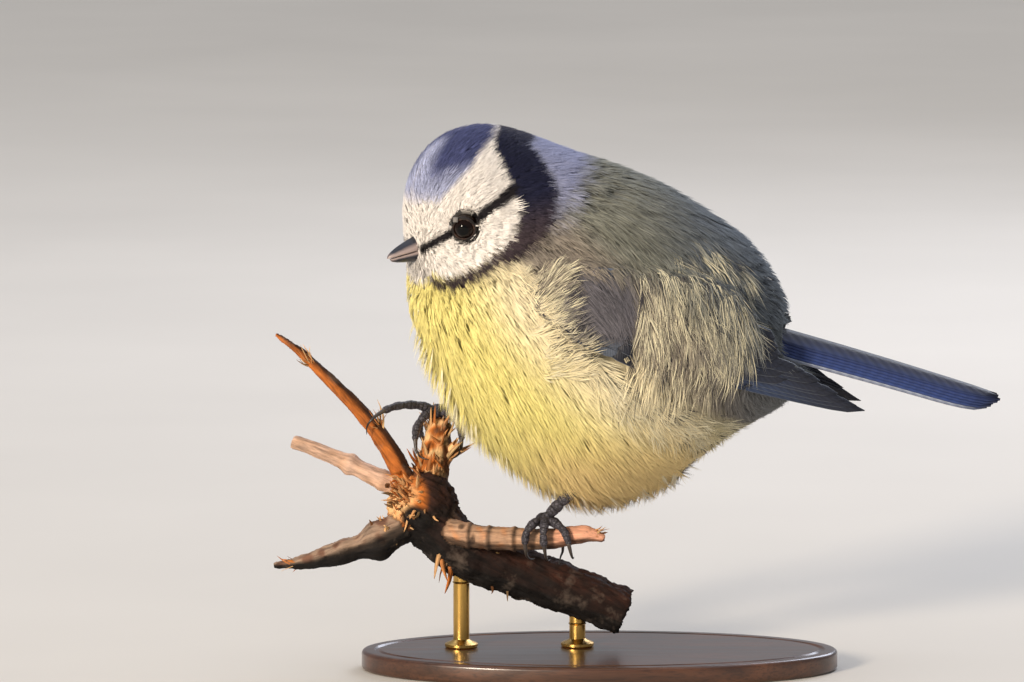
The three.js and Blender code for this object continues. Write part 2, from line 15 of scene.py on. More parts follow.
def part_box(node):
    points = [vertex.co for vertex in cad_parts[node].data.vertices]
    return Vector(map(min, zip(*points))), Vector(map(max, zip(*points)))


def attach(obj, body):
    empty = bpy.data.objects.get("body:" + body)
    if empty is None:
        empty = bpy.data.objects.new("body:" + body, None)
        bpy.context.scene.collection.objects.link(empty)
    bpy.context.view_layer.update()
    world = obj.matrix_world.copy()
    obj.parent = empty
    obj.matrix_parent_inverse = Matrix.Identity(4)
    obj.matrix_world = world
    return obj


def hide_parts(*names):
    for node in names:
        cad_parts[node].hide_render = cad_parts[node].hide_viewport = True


bl_info = {
    "name": "Blue tit on a branch",
    "version": (1, 0, 0),
    "blender": (4, 5, 0),
    "location": "3D View > Sidebar > Blue tit",
    "description": "Builds a still blue tit with its feathers, perch and display stand",
    "category": "Add Mesh",
}

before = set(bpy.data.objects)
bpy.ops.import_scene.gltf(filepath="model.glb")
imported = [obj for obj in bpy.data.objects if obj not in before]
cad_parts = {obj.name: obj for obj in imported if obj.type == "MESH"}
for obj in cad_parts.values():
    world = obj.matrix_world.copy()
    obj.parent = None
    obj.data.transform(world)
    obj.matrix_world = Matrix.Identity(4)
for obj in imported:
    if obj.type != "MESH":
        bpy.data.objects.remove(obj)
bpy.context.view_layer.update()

MM = 0.001
FLESH = ("head", "neck", "torso", "rump")
SIDES = {"left": -1, "right": 1}
DOWN = np.array((0.0, 0.0, -1.0))

# Head.
HEAD_AT = np.array((-21.6, -0.5, 85.2))
HEAD_TURN = math.radians(25)
HEAD_BOW = math.radians(12)
FORWARD = np.array((
    -math.cos(HEAD_TURN) * math.cos(HEAD_BOW),
    -math.sin(HEAD_TURN) * math.cos(HEAD_BOW),
    -math.sin(HEAD_BOW),
))
LEFTWARD = np.array((math.sin(HEAD_TURN), -math.cos(HEAD_TURN), 0.0))
UPWARD = np.cross(FORWARD, LEFTWARD)

# Eye, in head axes from the head's middle.
EYE_AIM = (0.606, 0.787, -0.112)
EYE_R = 2.3
EYE_SINK = 1.3
EYE_CLEAR = 0.2
LID_R = 0.14
LID_OUTER_R = 0.19
RIM_STEPS = 72
RIM_SIDES = 12
CORNEA_RISE = 0.05

# Bill, in head axes.
BILL_BASE = 10.7
BILL_TIP = 19.9
LOWER_TIP = 19.4
MOUTH_UP = -5.5
BILL_HALF_WIDTH = 2.05
UPPER_DEPTH = 2.5
LOWER_DEPTH = 2.1
BILL_DROOP = 0.35
NOSTRIL_FORWARD = 13.9
NOSTRIL_ANGLE = 0.75
BILL_ROWS = 44
BILL_SIDES = 30
BILL_IN_COAT = dict(from_forward=11, half_width=1.7, low=-7.6, high=-3.4)

# Markings on the head's chart: degrees round from the bill, and degrees up.
CAP = (
    (-1, 12), (15, 15), (24, 16), (32, 14), (40, 20), (49, 27), (57, 33), (67, 39), (77, 47), (88, 53),
    (100, 57), (114, 60), (135, 64), (181, 66), (181, 91), (-1, 91),
)
EYE_STRIPE = (
    (12, -19), (19, -17), (29, -14), (38, -10), (46, -7), (52, -5.5), (61, -2), (69, 2), (76, 5), (84, 8),
    (94, 13),
)
CHEEK = (
    (8, -21), (19, -18), (29, -15), (46, -8), (61, -3), (76, 4), (88, 10), (94, 13), (93, 3), (90, -4),
    (86, -9), (83, -13), (79, -16), (75, -18), (69, -21), (63, -24), (55, -27), (48, -29), (40, -31),
    (32, -31), (24, -30), (15, -27),
)
NAPE_BAND = (
    (94, 13), (96, 27), (99, 39), (104, 52), (116, 58), (135, 62), (181, 63), (181, 38), (150, 36),
    (137, 38), (125, 22), (117, 10), (112, 3), (103, -6), (95, -13), (90, -17), (85, -20), (79, -22),
    (70, -25), (62, -28.5), (54, -31.5), (47, -33.5), (40, -35), (30, -35.5), (22, -34.5), (24, -31),
    (32, -32), (40, -31), (48, -29), (55, -27), (63, -24), (69, -21), (75, -18), (79, -16), (83, -13),
    (86, -9), (90, -4), (93, 3),
)
PALE_NAPE = (
    (181, 40), (150, 38), (137, 40), (125, 24), (117, 12), (112, 5), (103, -4), (97, -10), (106, -9),
    (116, -3), (128, 4), (147, 10), (181, 10),
)
CHIN = ((-1, -10), (10, -12), (19, -18), (26, -28), (23, -33), (10, -36), (-1, -37))
BIB = ((-1, -24), (8, -22), (15, -23), (21, -27), (22, -32), (18, -34), (8, -37), (-1, -38))

# Where the folded wing shows between the breast's loose feathers and the scapulars, as x, z. It is bare
# below the top given here, and feathers nearer the bird's middle than the least y are kept.
WING_WINDOW = ((-8, 70), (-3.5, 74.5), (4.4, 74), (7.4, 69.5), (5.2, 63), (8.4, 57), (-1, 57), (-6.4, 63.5))
BARE_WINDOW_TOP = 65
WINDOW_MIN_Y = 12

# Where the coat ends: over the wings, over the rump, round the tail's root and under the wings.
COAT_REACH_X = 25.5
COAT_END_X = 33.6
TAIL_HOLE = dict(half_height=3.9, half_width=7.8, from_x=21)
UNDER_WING = dict(height=1.5, from_x=12, below_z=58)

# The line along each side that parts the yellow below from the flank and back above.
PARTING_Z = 52.6
PARTING_RISE = 3.5
PARTING_SLOPE = 0.95
PARTING_REAR_SLOPE = 0.25

# How the feathers are laid: the heights that count, and how far those over the wings stand clear of them.
DRAPE_MISS = -0.7
DRAPE_DEEPEST = -1.0
DRAPE_HIGHEST = 1.0
OVER_WING = 0.25
OVER_WING_LAYERS = 0.5

# How wide a tuft's patch is on the bake map, as a share of the map.
PATCH_ON_MAP = 0.003

# Wing: each tier fans from its line of roots to its line of tips, as x, z, lowest feather first. Past the
# trail's first x the wing runs straight to its tip.
WING_TIERS = {
    "primaries": dict(
        count=8, root=((4, 60.6), (13, 64.6)), tip=((48.2, 47.2), (35, 56.4)), lift=0.0, round=0.16,
        narrowing=0.4,
    ),
    "secondaries": dict(
        count=6, root=((6, 60.6), (14.6, 68)), tip=((33.6, 53.6), (31, 62.4)), lift=0.6, round=0.12
    ),
    "tertials": dict(
        count=3, root=((12.6, 66), (15.4, 73.6)), tip=((31, 59), (23.4, 67.4)), lift=1.0, round=0.2
    ),
    "greater_coverts": dict(
        count=9, root=((0, 61.6), (8.6, 74.4)), tip=((9.4, 57), (20.4, 71.4)), lift=1.2, round=0.2
    ),
    "median_coverts": dict(
        count=8, root=((-7, 65), (2, 75)), tip=((2.8, 60.2), (11.4, 72.4)), lift=1.5, round=0.24
    ),
    "lesser_coverts": dict(
        count=9, root=((-10, 68), (-3, 75.6)), tip=((-3.6, 64), (4.2, 74.6)), lift=1.5, round=0.26
    ),
    "wrist_coverts": dict(
        count=8, root=((-12.4, 70), (-7, 76)), tip=((-7, 66.4), (-0.6, 74.4)), lift=1.3, round=0.28
    ),
}
LONG_TIERS = ("primaries", "secondaries")
WING_TONES = {"slate": "242734", "blue": "3C5074", "covert": "646C7A", "white": "D9DDDC"}
WING_TRAIL = dict(from_x=14, from_y=20, to_x=47, to_y=7, above_z=56, lean=0.25)
WING_CLEARANCE = 0.95
WING_OVERLAP = 0.86
WING_ARCH = 0.14
WING_SHAFT = 0.05
PAST_WING_Y = 60.0
FEATHER_STEP = 0.4
WING_SAG = 0.012
VANE_THICKNESS = 0.3

# Tail.
TAIL_ROOT = np.array((24.5, 0, 62.9))
TAIL_LENGTH = 50.0
TAIL_SLOPE = math.radians(15.4)
TAIL_ROLL = math.radians(-16)
TAIL_DROOP = 1.2
TAIL_UP = 1.0
TAIL_RIDGE = 0.42
TAIL_HALF_WIDTH = 2.9
TAIL_NARROWING = 0.34
TAIL_STEP_BACK = 0.4
TAIL_STEP_OUT = 0.5
TAIL_STEP_DOWN = 0.28
TAIL_ARCH = 0.1
TAIL_SHAFT = 0.04
TAIL_FEATHERS_A_SIDE = 6
TAIL_TONES = {"blue": "222C5A", "bright": "344A84", "dark": "0D0E18", "pale": "B9BFC8"}

# Legs and feet: the middle of the foot, the hock, and the points of each toe and its claw.
TARSUS_R = 0.9
TOE_R = (0.82, 0.6)
CLAW_R = (0.5, 0.06)
ANKLE_R = 1.5
SCALE_RISE = 0.11
JOINT_RISE = 0.1
JOINT_SPACING = 3.1
CLAW_INTO_TOE = 0.5
FEET = {
    "left": dict(
        pad=(-10.2, -7.5, 28.2),
        hock=(-1.8, -8.4, 37),
        inner=(
            ((-11.8, -9.4, 28), (-13.2, -10.3, 26.4), (-13.6, -10.2, 24)),
            ((-13.3, -9.4, 22.3), (-12.6, -8.1, 21.2), (-11.8, -6.8, 21.1)),
        ),
        middle=(
            ((-10, -9.8, 28), (-10.2, -11.2, 26.2), (-10.1, -11, 23.8)),
            ((-9.8, -10, 22), (-9.4, -8.6, 21), (-9, -7.2, 21)),
        ),
        outer=(
            ((-8.2, -9.8, 28), (-6.4, -11.2, 26.6), (-5.6, -11.5, 24.2)),
            ((-5.2, -10.7, 22.4), (-4.9, -9.2, 21.5), (-4.7, -7.7, 21.5)),
        ),
        hind=(
            ((-9, -6, 28), (-7.4, -4.8, 26.8), (-6.6, -4.7, 24.2)),
            ((-6.7, -5.4, 22.4), (-7.1, -6.1, 21.3), (-7.4, -6.6, 19.9)),
        ),
    ),
    "right": dict(
        pad=(-29.2, 7, 46),
        hock=(-20, 8.4, 51.5),
        inner=(
            ((-31.2, 5.2, 45.8), (-33, 4, 43.6), (-33.4, 3.2, 41)),
            ((-33.1, 2.4, 39.4), (-32.2, 1.5, 38.3), (-30.9, 0.9, 38)),
        ),
        middle=(
            ((-32.8, 4.8, 47.4), (-36.4, 1.6, 47.7), (-39.2, -1.2, 47.1)),
            ((-40.8, -2.2, 46.0), (-41.9, -2.2, 44.5), (-42.0, -1.4, 42.9)),
        ),
        outer=(
            ((-31.2, 9.2, 45.4), (-32.6, 10.6, 43), (-32.2, 11, 40.5)),
            ((-31.4, 10.8, 39), (-30.3, 10.1, 38), (-29.1, 9.7, 37.4)),
        ),
        hind=(
            ((-27, 5.4, 45.6), (-25.2, 4.4, 43.6), (-24.9, 3.8, 41)),
            ((-25.1, 3, 39.5), (-25.8, 1.9, 38.5), (-26.9, 0.9, 38.1)),
        ),
    ),
}
TOES = ("inner", "middle", "outer", "hind")

# Perch: the knot's middle and the torn places on it. Rings and knobs have their distance from the knot
# along the branch, and knobs also their height and width. Relief is how rough each branch is.
KNOT_AT = np.array((-32.0, 1.4, 29.4))
BROKEN_FACE = (-37.5, -3.5, 31.5)
KNOT_HOLLOW = (-33.4, -4.6, 27.6)
PERCH_NODES = ("perch_branch", "perch_twig", "perch_stub", "perch_sliver", "perch_snag", "perch_spur")
TWIG, SNAG, SPUR = (PERCH_NODES.index("perch_" + name) for name in ("twig", "snag", "spur"))
BARK_RELIEF = (0.55, 0.16, 0.5, 0.2, 0.34, 0.16)
BARK_CELL = 0.36
TWIG_RINGS = (4.2, 9.4, 13.1, 17.8)
KNOBS = {
    TWIG: tuple((ring, 0.26, 0.35) for ring in TWIG_RINGS),
    SNAG: ((9.5, 0.6, 1.7), (13.4, -0.5, 1.6)),
    SPUR: ((15.2, 0.5, 0.9), (8.6, 0.3, 0.8)),
}

# Stand: steps of the groove round the base's top, as width and depth, and the rods' turning.
BASE_GROOVE = ((2.2, 0.0), (0.35, -0.3), (0.5, 0.0), (0.35, 0.3))
BASE_ROUNDING = 0.7
ROD_SIDES = 40
ROD_INTO_BARK = 0.6
ROD_FOOT = ((0, 1.9), (0.25, 2.05), (0.7, 2.05), (0.95, 1.7), (1.2, 1.25), (1.5, 1.0))
ROD_CUP = ((-1.9, 1.0), (-1.7, 1.12), (-1.5, 1.0), (0, 1.0))

# Camera, as in the photograph: its aim and frame in millimetres, and the floor and reach in metres.
AIM = (-15.84, 0.0, 59.67)
VIEW_DOWN = math.radians(7)
FRAME_WIDTH = 184.32
SENSOR = 36.0
FLOOR_WIDTH = 16.0
SEE_TO = 30

# Lights: place and width in metres, and colour. Each one's watts are among the stage settings.
LIGHTS = {
    "key": ((-1.35, -2.0, 0.8), 0.45, "FFF0DC"),
    "rim": ((0.35, 0.6, 0.5), 0.4, "E8EEFF"),
    "top": ((0.0, 0.6, 2.6), 3.0, "EEF2FF"),
}


def from_hex(code):
    """An sRGB colour, from 0 to 1."""
    return tuple(int(code[i : i + 2], 16) / 255 for i in (0, 2, 4))


def linear(colour):
    """A colour of sRGB values as linear light."""
    value = np.asarray(colour, float)
    return np.where(value <= 0.04045, value / 12.92, ((value + 0.055) / 1.055) ** 2.4)


def shade(name, note, code):
    """A colour that a user may change."""
    return bpy.props.FloatVectorProperty(
        name=name, description=note, default=from_hex(code), size=3, min=0, max=1, subtype="COLOR_GAMMA"
    )


def size(name, note, default):
    """A length in millimetres that a user may change."""
    note = note + ", in millimetres"
    return bpy.props.FloatProperty(name=name, description=note, default=default, min=0.01)


def amount(name, note, default):
    """A count that a user may change."""
    return bpy.props.IntProperty(name=name, description=note, default=default, min=1)


def level(name, note, default):
    """Any other number that a user may change."""
    return bpy.props.FloatProperty(name=name, description=note, default=default, min=0)


class PlumageColours(bpy.types.PropertyGroup):
    """Colours of the feathers."""

    cap: shade("Cap", "Front and edges of the blue cap", "B6BCDB")
    # Partly the cap's own darker blue, partly painted shade on its sides, rear and top.
    cap_dark: shade("Dark cap and shade", "Sides and rear of the cap", "484E78")
    face: shade("Face", "Forehead, brow and cheek", "FFF8F0")
    stripe: shade("Eye stripe", "Line from the bill through the eye", "1C171B")
    band: shade("Nape band", "Collar behind the cheek", "1A1C36")
    band_low: shade("Lower collar", "Browner foot of the collar", "3F3439")
    pale_nape: shade("Pale nape", "Patch behind the collar", "9DA1C0")
    mantle: shade("Mantle", "Upper back", "87877A")
    rump: shade("Rump", "Lower back and upper tail coverts", "6B7278")
    breast: shade("Breast", "Throat and upper breast", "FFF096")
    flank: shade("Flank", "Side of the breast and flank", "FCEDC4")
    belly: shade("Belly", "Lower belly", "FFE09C")
    vent: shade("Vent", "Under the tail", "B9B38C")
    belly_streak: shade("Belly streak", "Dark streak down the middle of the belly", "4E5264")
    scapular: shade("Scapulars", "Long loose feathers over the wing", "91877A")
    down: shade("Down", "Dark base of the feathers", "3A3A40")
    covert: shade("Wing edge", "Soft small feathers at the bend of the wing", "605E66")


class CoatSizes(bpy.types.PropertyGroup):
    """Sizes and numbers of the feathers."""

    face_depth: size("Face depth", "How far the skin lies under the face's feathers", 0.75)
    body_depth: size("Body depth", "How far the skin lies under the body's feathers", 2.0)
    face_length: size("Face barbs", "Length of the barbs on the face", 1.8)
    body_length: size("Body barbs", "Length of the barbs on the body", 6.0)
    face_width: size("Face barb width", "Width of a barb on the face", 0.15)
    body_width: size("Body barb width", "Width of a barb on the body", 0.19)
    loose_width: size("Loose barb width", "Width of a long loose barb", 0.18)
    head_tufts: amount("Head tufts", "Number of tufts on the head", 8000)
    body_tufts: amount("Body tufts", "Number of tufts on the body", 10500)
    loose_tufts: amount("Loose tufts", "Number of long loose tufts on each flank", 560)
    skin_cell: size("Skin cell", "Edge of the skin's faces", 0.7)


class BareColours(bpy.types.PropertyGroup):
    """Colours of the bill, eyes, legs and claws."""

    bill: shade("Bill", "Horn of the bill", "2B2E3A")
    bill_edge: shade("Bill edge", "Cutting edges and tip", "A3938F")
    lid: shade("Eye ring", "Bare rim of the eyelids", "38241A")
    iris: shade("Iris", "Ring round the pupil", "1C0E08")
    leg: shade("Leg", "Scales of the legs and toes", "4B4850")
    leg_dark: shade("Leg grooves", "Skin between the scales", "1D1A1C")
    claw: shade("Claw", "Horn of the claws", "231F1E")


class PerchColours(bpy.types.PropertyGroup):
    """Colours of the perch and stand."""

    dark_bark: shade("Dark bark", "Old bark of the branch", "1F1511")
    grey_bark: shade("Grey bark", "Weathered bark", "8B7868")
    pale_bark: shade("Pale bark", "Young bark of the twig and spur", "C49A7A")
    raw_wood: shade("Raw wood", "Split orange wood", "C8722E")
    pale_wood: shade("Pale wood", "Fresh broken face", "F0C68E")
    # Dark wood and painted shade: the dark of the twig's rings, of random patches and of splinters, and also
    # painted shade on undersides, in the knot's hollow and in the sliver's groove.
    char: shade("Dark wood and shade", "Dark hollows and underside", "120D0B")
    stand: shade("Stand wood", "Stained base", "4A2C1A")
    brass: shade("Brass", "Rods and collars", "C9A25A")


class StageSettings(bpy.types.PropertyGroup):
    """Floor, lights and camera."""

    floor: shade("Floor", "Colour of the floor", "D8D2C8")
    distance: level("Camera distance", "Metres from the camera to its aim", 1.5)
    key: level("Key light", "Watts of the warm key light", 66.0)
    rim: level("Rim light", "Watts of the light from behind", 3.0)
    top: level("Top light", "Watts of the wide overhead light", 30.0)
    sky: level("Surround", "Strength of the even surround", 0.42)


def unit(vectors):
    """Vectors of length one."""
    return vectors / np.maximum(np.linalg.norm(vectors, axis=-1, keepdims=True), 1e-9)


def ease(low, high, value):
    """0 below low, 1 above high, and smooth between."""
    share = np.clip((value - low) / (high - low), 0, 1)
    return share * share * (3 - 2 * share)


def blend(a, b, share):
    """From colours a to colours b."""
    share = np.asarray(share)[..., None]
    return a * (1 - share) + b * share


def from_head(forward, left, up):
    """A point given in head axes from the head's middle."""
    return HEAD_AT + forward * FORWARD + left * LEFTWARD + up * UPWARD


def flat(vectors, normals):
    """Vectors laid into the planes of the normals, of length one."""
    return unit(vectors - normals * np.sum(vectors * normals, -1, keepdims=True))


def only(obj):
    """Selects one object and makes it active."""
    bpy.ops.object.select_all(action="DESELECT")
    obj.select_set(True)
    bpy.context.view_layer.objects.active = obj
    return obj


def apply_modifier(obj, kind, **settings):
    """Adds a modifier, sets it and applies it."""
    only(obj)
    modifier = obj.modifiers.new(kind.title(), kind)
    for name, value in settings.items():
        setattr(modifier, name, value)
    bpy.ops.object.modifier_apply(modifier=modifier.name)


def joined_copy(name, nodes):
    """One object from merged copies of CAD nodes."""
    bpy.ops.object.select_all(action="DESELECT")
    copies = []
    for node in nodes:
        copy = bpy.data.objects.new(name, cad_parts[node].data.copy())
        bpy.context.scene.collection.objects.link(copy)
        copy.select_set(True)
        copies.append(copy)
    bpy.context.view_layer.objects.active = copies[0]
    if len(copies) > 1:
        bpy.ops.object.join()
    whole = only(copies[0])
    whole.name = name
    whole.data.materials.clear()
    bpy.ops.object.mode_set(mode="EDIT")
    bpy.ops.mesh.select_all(action="SELECT")
    bpy.ops.mesh.remove_doubles(threshold=1e-6)
    bpy.ops.object.mode_set(mode="OBJECT")
    return whole


def remeshed_copy(name, nodes, cell, rounds):
    """A smooth closed skin over CAD nodes, with faces about cell across."""
    whole = joined_copy(name, nodes)
    apply_modifier(whole, "REMESH", mode="VOXEL", voxel_size=cell * MM, use_smooth_shade=True)
    apply_modifier(whole, "SMOOTH", factor=0.5, iterations=rounds)
    return whole


def vertex_array(mesh, field="co"):
    """Places or normals of a mesh's vertices."""
    values = np.empty(len(mesh.vertices) * 3, np.float32)
    mesh.vertices.foreach_get(field, values)
    return values.reshape(-1, 3).astype(float)


def triangle_corners(mesh):
    """The three vertices of each triangle of a mesh."""
    mesh.calc_loop_triangles()
    corners = np.empty(len(mesh.loop_triangles) * 3, np.int32)
    mesh.loop_triangles.foreach_get("vertices", corners)
    return corners.reshape(-1, 3)


def add_grain(mesh, grain):
    """Gives every vertex its coordinates along the grain."""
    attribute = mesh.attributes.new("grain", "FLOAT_VECTOR", "POINT")
    attribute.data.foreach_set("vector", grain.astype(np.float32).ravel())


def grey(values):
    """Shares as rows of three equal numbers."""
    return np.asarray(values)[:, None] * np.ones(3)


def split(a, b, c, d):
    """Four-sided faces as triangles."""
    return np.concatenate((np.stack((a, b, c), -1), np.stack((a, c, d), -1)))


def paint(mesh, name, colours):
    """Gives every vertex a colour in linear light."""
    attribute = mesh.attributes.new(name, "FLOAT_COLOR", "POINT")
    values = np.ones((len(colours), 4), np.float32)
    values[:, :3] = colours
    attribute.data.foreach_set("color", values.ravel())


def mesh_piece(name, places, triangles, colours=None, layout=None, grain=None, normals=None):
    """A smooth-shaded object from arrays, in millimetres. Layout is each vertex's place on the bake map."""
    mesh = bpy.data.meshes.new(name)
    mesh.vertices.add(len(places))
    mesh.vertices.foreach_set("co", (places * MM).astype(np.float32).ravel())
    mesh.loops.add(triangles.size)
    mesh.loops.foreach_set("vertex_index", triangles.astype(np.int32).ravel())
    mesh.polygons.add(len(triangles))
    mesh.polygons.foreach_set("loop_start", np.arange(0, triangles.size, 3, dtype=np.int32))
    mesh.update(calc_edges=True)
    mesh.shade_smooth()
    if colours is not None:
        paint(mesh, "tint", colours)
    if grain is not None:
        add_grain(mesh, grain)
    if layout is not None:
        layer = mesh.uv_layers.new(name="OFBake")
        layer.uv.foreach_set("vector", layout[triangles.ravel()].astype(np.float32).ravel())
    if normals is not None:
        mesh.normals_split_custom_set_from_vertices(normals.tolist())
    obj = bpy.data.objects.new(name, mesh)
    bpy.context.scene.collection.objects.link(obj)
    return obj


def settle(obj, material, slot, *nodes):
    """Gives a piece its finish and place in the part."""
    obj.data.materials.clear()
    obj.data.materials.append(material)
    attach(obj, "root")
    if nodes:
        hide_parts(*nodes)
    return obj


class Finish:
    """A material being put together from nodes."""

    def __init__(self, name, **sockets):
        self.material = bpy.data.materials.new(name)
        self.material.use_nodes = True
        self.tree = self.material.node_tree
        self.shader = self.tree.nodes["Principled BSDF"]
        for socket, value in sockets.items():
            self.shader.inputs[socket.replace("_", " ")].default_value = value
        self.coordinates = self.node("ShaderNodeTexCoord").outputs["Object"]

    def node(self, kind, **settings):
        """A new node with these settings."""
        made = self.tree.nodes.new(kind)
        for name, value in settings.items():
            setattr(made, name, value)
        return made

    def link(self, output, target):
        """Joins an output to an input, or sets the input to a value."""
        if isinstance(output, bpy.types.NodeSocket):
            self.tree.links.new(output, target)
        else:
            target.default_value = output

    def attribute(self, name, output="Color"):
        """A named attribute of the mesh."""
        return self.node("ShaderNodeAttribute", attribute_name=name).outputs[output]

    def stretched(self, scale, place=None):
        """Coordinates scaled along each axis."""
        mapping = self.node("ShaderNodeMapping")
        self.link(place or self.coordinates, mapping.inputs["Vector"])
        mapping.inputs["Scale"].default_value = scale
        return mapping.outputs["Vector"]

    def noise(self, scale, detail=4.0, roughness=0.55, place=None, distortion=0.0):
        """Fine cloudy noise, from 0 to 1."""
        made = self.node("ShaderNodeTexNoise")
        self.link(place or self.coordinates, made.inputs["Vector"])
        made.inputs["Scale"].default_value = scale
        made.inputs["Detail"].default_value = detail
        made.inputs["Roughness"].default_value = roughness
        made.inputs["Distortion"].default_value = distortion
        return made.outputs["Fac"]

    def ramp(self, factor, *stops):
        """Colours or greys along a factor."""
        made = self.node("ShaderNodeValToRGB")
        self.link(factor, made.inputs["Fac"])
        elements = made.color_ramp.elements
        while len(elements) < len(stops):
            elements.new(0.5)
        for element, (place, colour) in zip(elements, stops):
            element.position = place
            element.color = (*np.broadcast_to(colour, 3), 1)
        return made.outputs["Color"]

    def mix(self, factor, a, b, way="MIX"):
        """A mix of two colours."""
        made = self.node("ShaderNodeMix", data_type="RGBA", blend_type=way)
        self.link(factor, made.inputs[0])
        for value, socket in ((a, made.inputs[6]), (b, made.inputs[7])):
            if not isinstance(value, bpy.types.NodeSocket):
                value = (*np.broadcast_to(value, 3), 1)
            self.link(value, socket)
        return made.outputs[2]

    def maths(self, way, a, b=0.0):
        """A sum, product or other function of two numbers."""
        made = self.node("ShaderNodeMath", operation=way)
        self.link(a, made.inputs[0])
        self.link(b, made.inputs[1])
        return made.outputs[0]

    def weighted(self, a, share_a, b, share_b):
        """The sum of two numbers, each times its share."""
        return self.maths("ADD", self.maths("MULTIPLY", a, share_a), self.maths("MULTIPLY", b, share_b))

    def finish(self, colour, roughness=None, height=None, depth=0.1, strength=0.6):
        """Joins colour, roughness and bump to the shader, depth in millimetres."""
        self.link(colour, self.shader.inputs["Base Color"])
        if roughness is not None:
            self.link(roughness, self.shader.inputs["Roughness"])
        if height is not None:
            bump = self.node("ShaderNodeBump")
            bump.inputs["Strength"].default_value = strength
            bump.inputs["Distance"].default_value = depth * MM
            self.link(height, bump.inputs["Height"])
            self.link(bump.outputs["Normal"], self.shader.inputs["Normal"])
        return self.material


def plumage_finish(name, sheen, contrast):
    """Soft feather: the tint of the place, with fine streaks and mottling."""
    made = Finish(name, Roughness=0.78, Sheen_Weight=sheen, Sheen_Roughness=0.45, Specular_IOR_Level=0.25)
    mottle = made.noise(420, detail=5)
    fine = made.noise(2600, detail=3)
    both = made.weighted(mottle, 0.6, fine, 0.4)
    value = made.ramp(both, (0.3, 1 - contrast), (0.7, 1 + contrast * 0.2))
    colour = made.mix(1.0, made.attribute("tint"), value, "MULTIPLY")
    return made.finish(colour, height=fine, depth=0.03, strength=0.3)


def vane_finish(name, roughness, edge, sheen):
    """A vane: fine slanting barbs each side of its shaft. Grain is across, along and the feather's count."""
    made = Finish(name, Roughness=roughness, Sheen_Weight=sheen, Sheen_Roughness=0.4, Specular_IOR_Level=0.4)
    parts = made.node("ShaderNodeSeparateXYZ")
    made.link(made.attribute("grain", "Vector"), parts.inputs[0])
    across, along = parts.outputs[0], parts.outputs[1]
    out = made.maths("ABSOLUTE", across)
    slant = made.maths("SUBTRACT", made.maths("MULTIPLY", along, 150.0), made.maths("MULTIPLY", out, 9.0))
    barbs = made.maths("ADD", made.maths("MULTIPLY", made.maths("SINE", slant), 0.5), 0.5)
    soft = made.noise(900, detail=4)
    value = made.ramp(made.weighted(barbs, 0.5, soft, 0.5), (0.15, 0.72), (0.85, 1.12))
    tinted = made.mix(1.0, made.attribute("tint"), value, "MULTIPLY")
    rim = made.ramp(out, (0.9, 0.0), (0.97, 1.0))
    shaft = made.ramp(out, (0.03, 1.0), (0.07, 0.0))
    edged = made.mix(made.maths("MULTIPLY", rim, 0.5), tinted, edge)
    colour = made.mix(made.maths("MULTIPLY", shaft, 0.6), edged, linear(from_hex("1A1A20")))
    return made.finish(colour, height=barbs, depth=0.05, strength=0.5)


def horn_finish(name, dark, pale, roughness):
    """Satin horn that is pale where the tint says so."""
    made = Finish(name, Roughness=roughness, Specular_IOR_Level=0.45)
    streaks = made.noise(60, detail=5, place=made.stretched((9, 30, 30)))
    amount_pale = made.maths("ADD", made.attribute("tint", "Fac"), made.maths("MULTIPLY", streaks, 0.22))
    colour = made.ramp(amount_pale, (0.08, dark * 0.6), (0.3, dark), (1.0, pale))
    rough = made.ramp(streaks, (0.2, roughness * 0.8), (0.8, roughness * 1.4))
    return made.finish(colour, rough, height=streaks, depth=0.06, strength=0.5)


def eye_finish(colours):
    """Wet dark eye with a black pupil."""
    made = Finish("eye_wet", Roughness=0.06, Specular_IOR_Level=0.2)
    flecks = made.noise(2200, detail=4)
    iris = made.mix(made.maths("MULTIPLY", flecks, 0.6), linear(colours.iris), 0.0)
    colour = made.mix(made.attribute("tint", "Fac"), 0.001, iris)
    return made.finish(colour)


def scale_finish(colours):
    """Dry scaly skin of the legs and toes."""
    made = Finish("leg_scales", Roughness=0.5, Specular_IOR_Level=0.45)
    cells = made.node("ShaderNodeTexVoronoi", feature="DISTANCE_TO_EDGE")
    made.link(made.coordinates, cells.inputs["Vector"])
    cells.inputs["Scale"].default_value = 1700
    groove = made.ramp(cells.outputs["Distance"], (0.0, 0.0), (0.12, 1.0))
    mottle = made.noise(900, detail=5)
    base = made.mix(mottle, linear(colours.leg) * 0.55, linear(colours.leg) * 1.5)
    tinted = made.mix(made.attribute("tint", "Fac"), linear(colours.leg_dark), base)
    colour = made.mix(groove, linear(colours.leg_dark), tinted)
    rough = made.ramp(mottle, (0.2, 0.34), (0.8, 0.68))
    return made.finish(colour, rough, height=groove, depth=0.09, strength=0.8)


def bark_finish(name, roughness, depth):
    """Bark or split wood: the tint of the place, cracked and fibrous along the grain."""
    made = Finish(name, Roughness=roughness, Specular_IOR_Level=0.3)
    along = made.attribute("grain", "Vector")
    fibres = made.noise(1.0, detail=7, roughness=0.65, place=along, distortion=0.3)
    patches = made.noise(260, detail=6, roughness=0.6)
    value = made.ramp(fibres, (0.32, 0.42), (0.5, 0.95), (0.68, 1.35))
    colour = made.mix(1.0, made.attribute("tint"), value, "MULTIPLY")
    dusty = made.mix(made.ramp(patches, (0.55, 0.0), (0.75, 0.3)), colour, linear(from_hex("A08E80")))
    rough = made.ramp(patches, (0.3, roughness * 0.85), (0.7, 1.0))
    both = made.maths("ADD", fibres, made.maths("MULTIPLY", patches, 0.5))
    return made.finish(dusty, rough, height=both, depth=depth, strength=0.9)


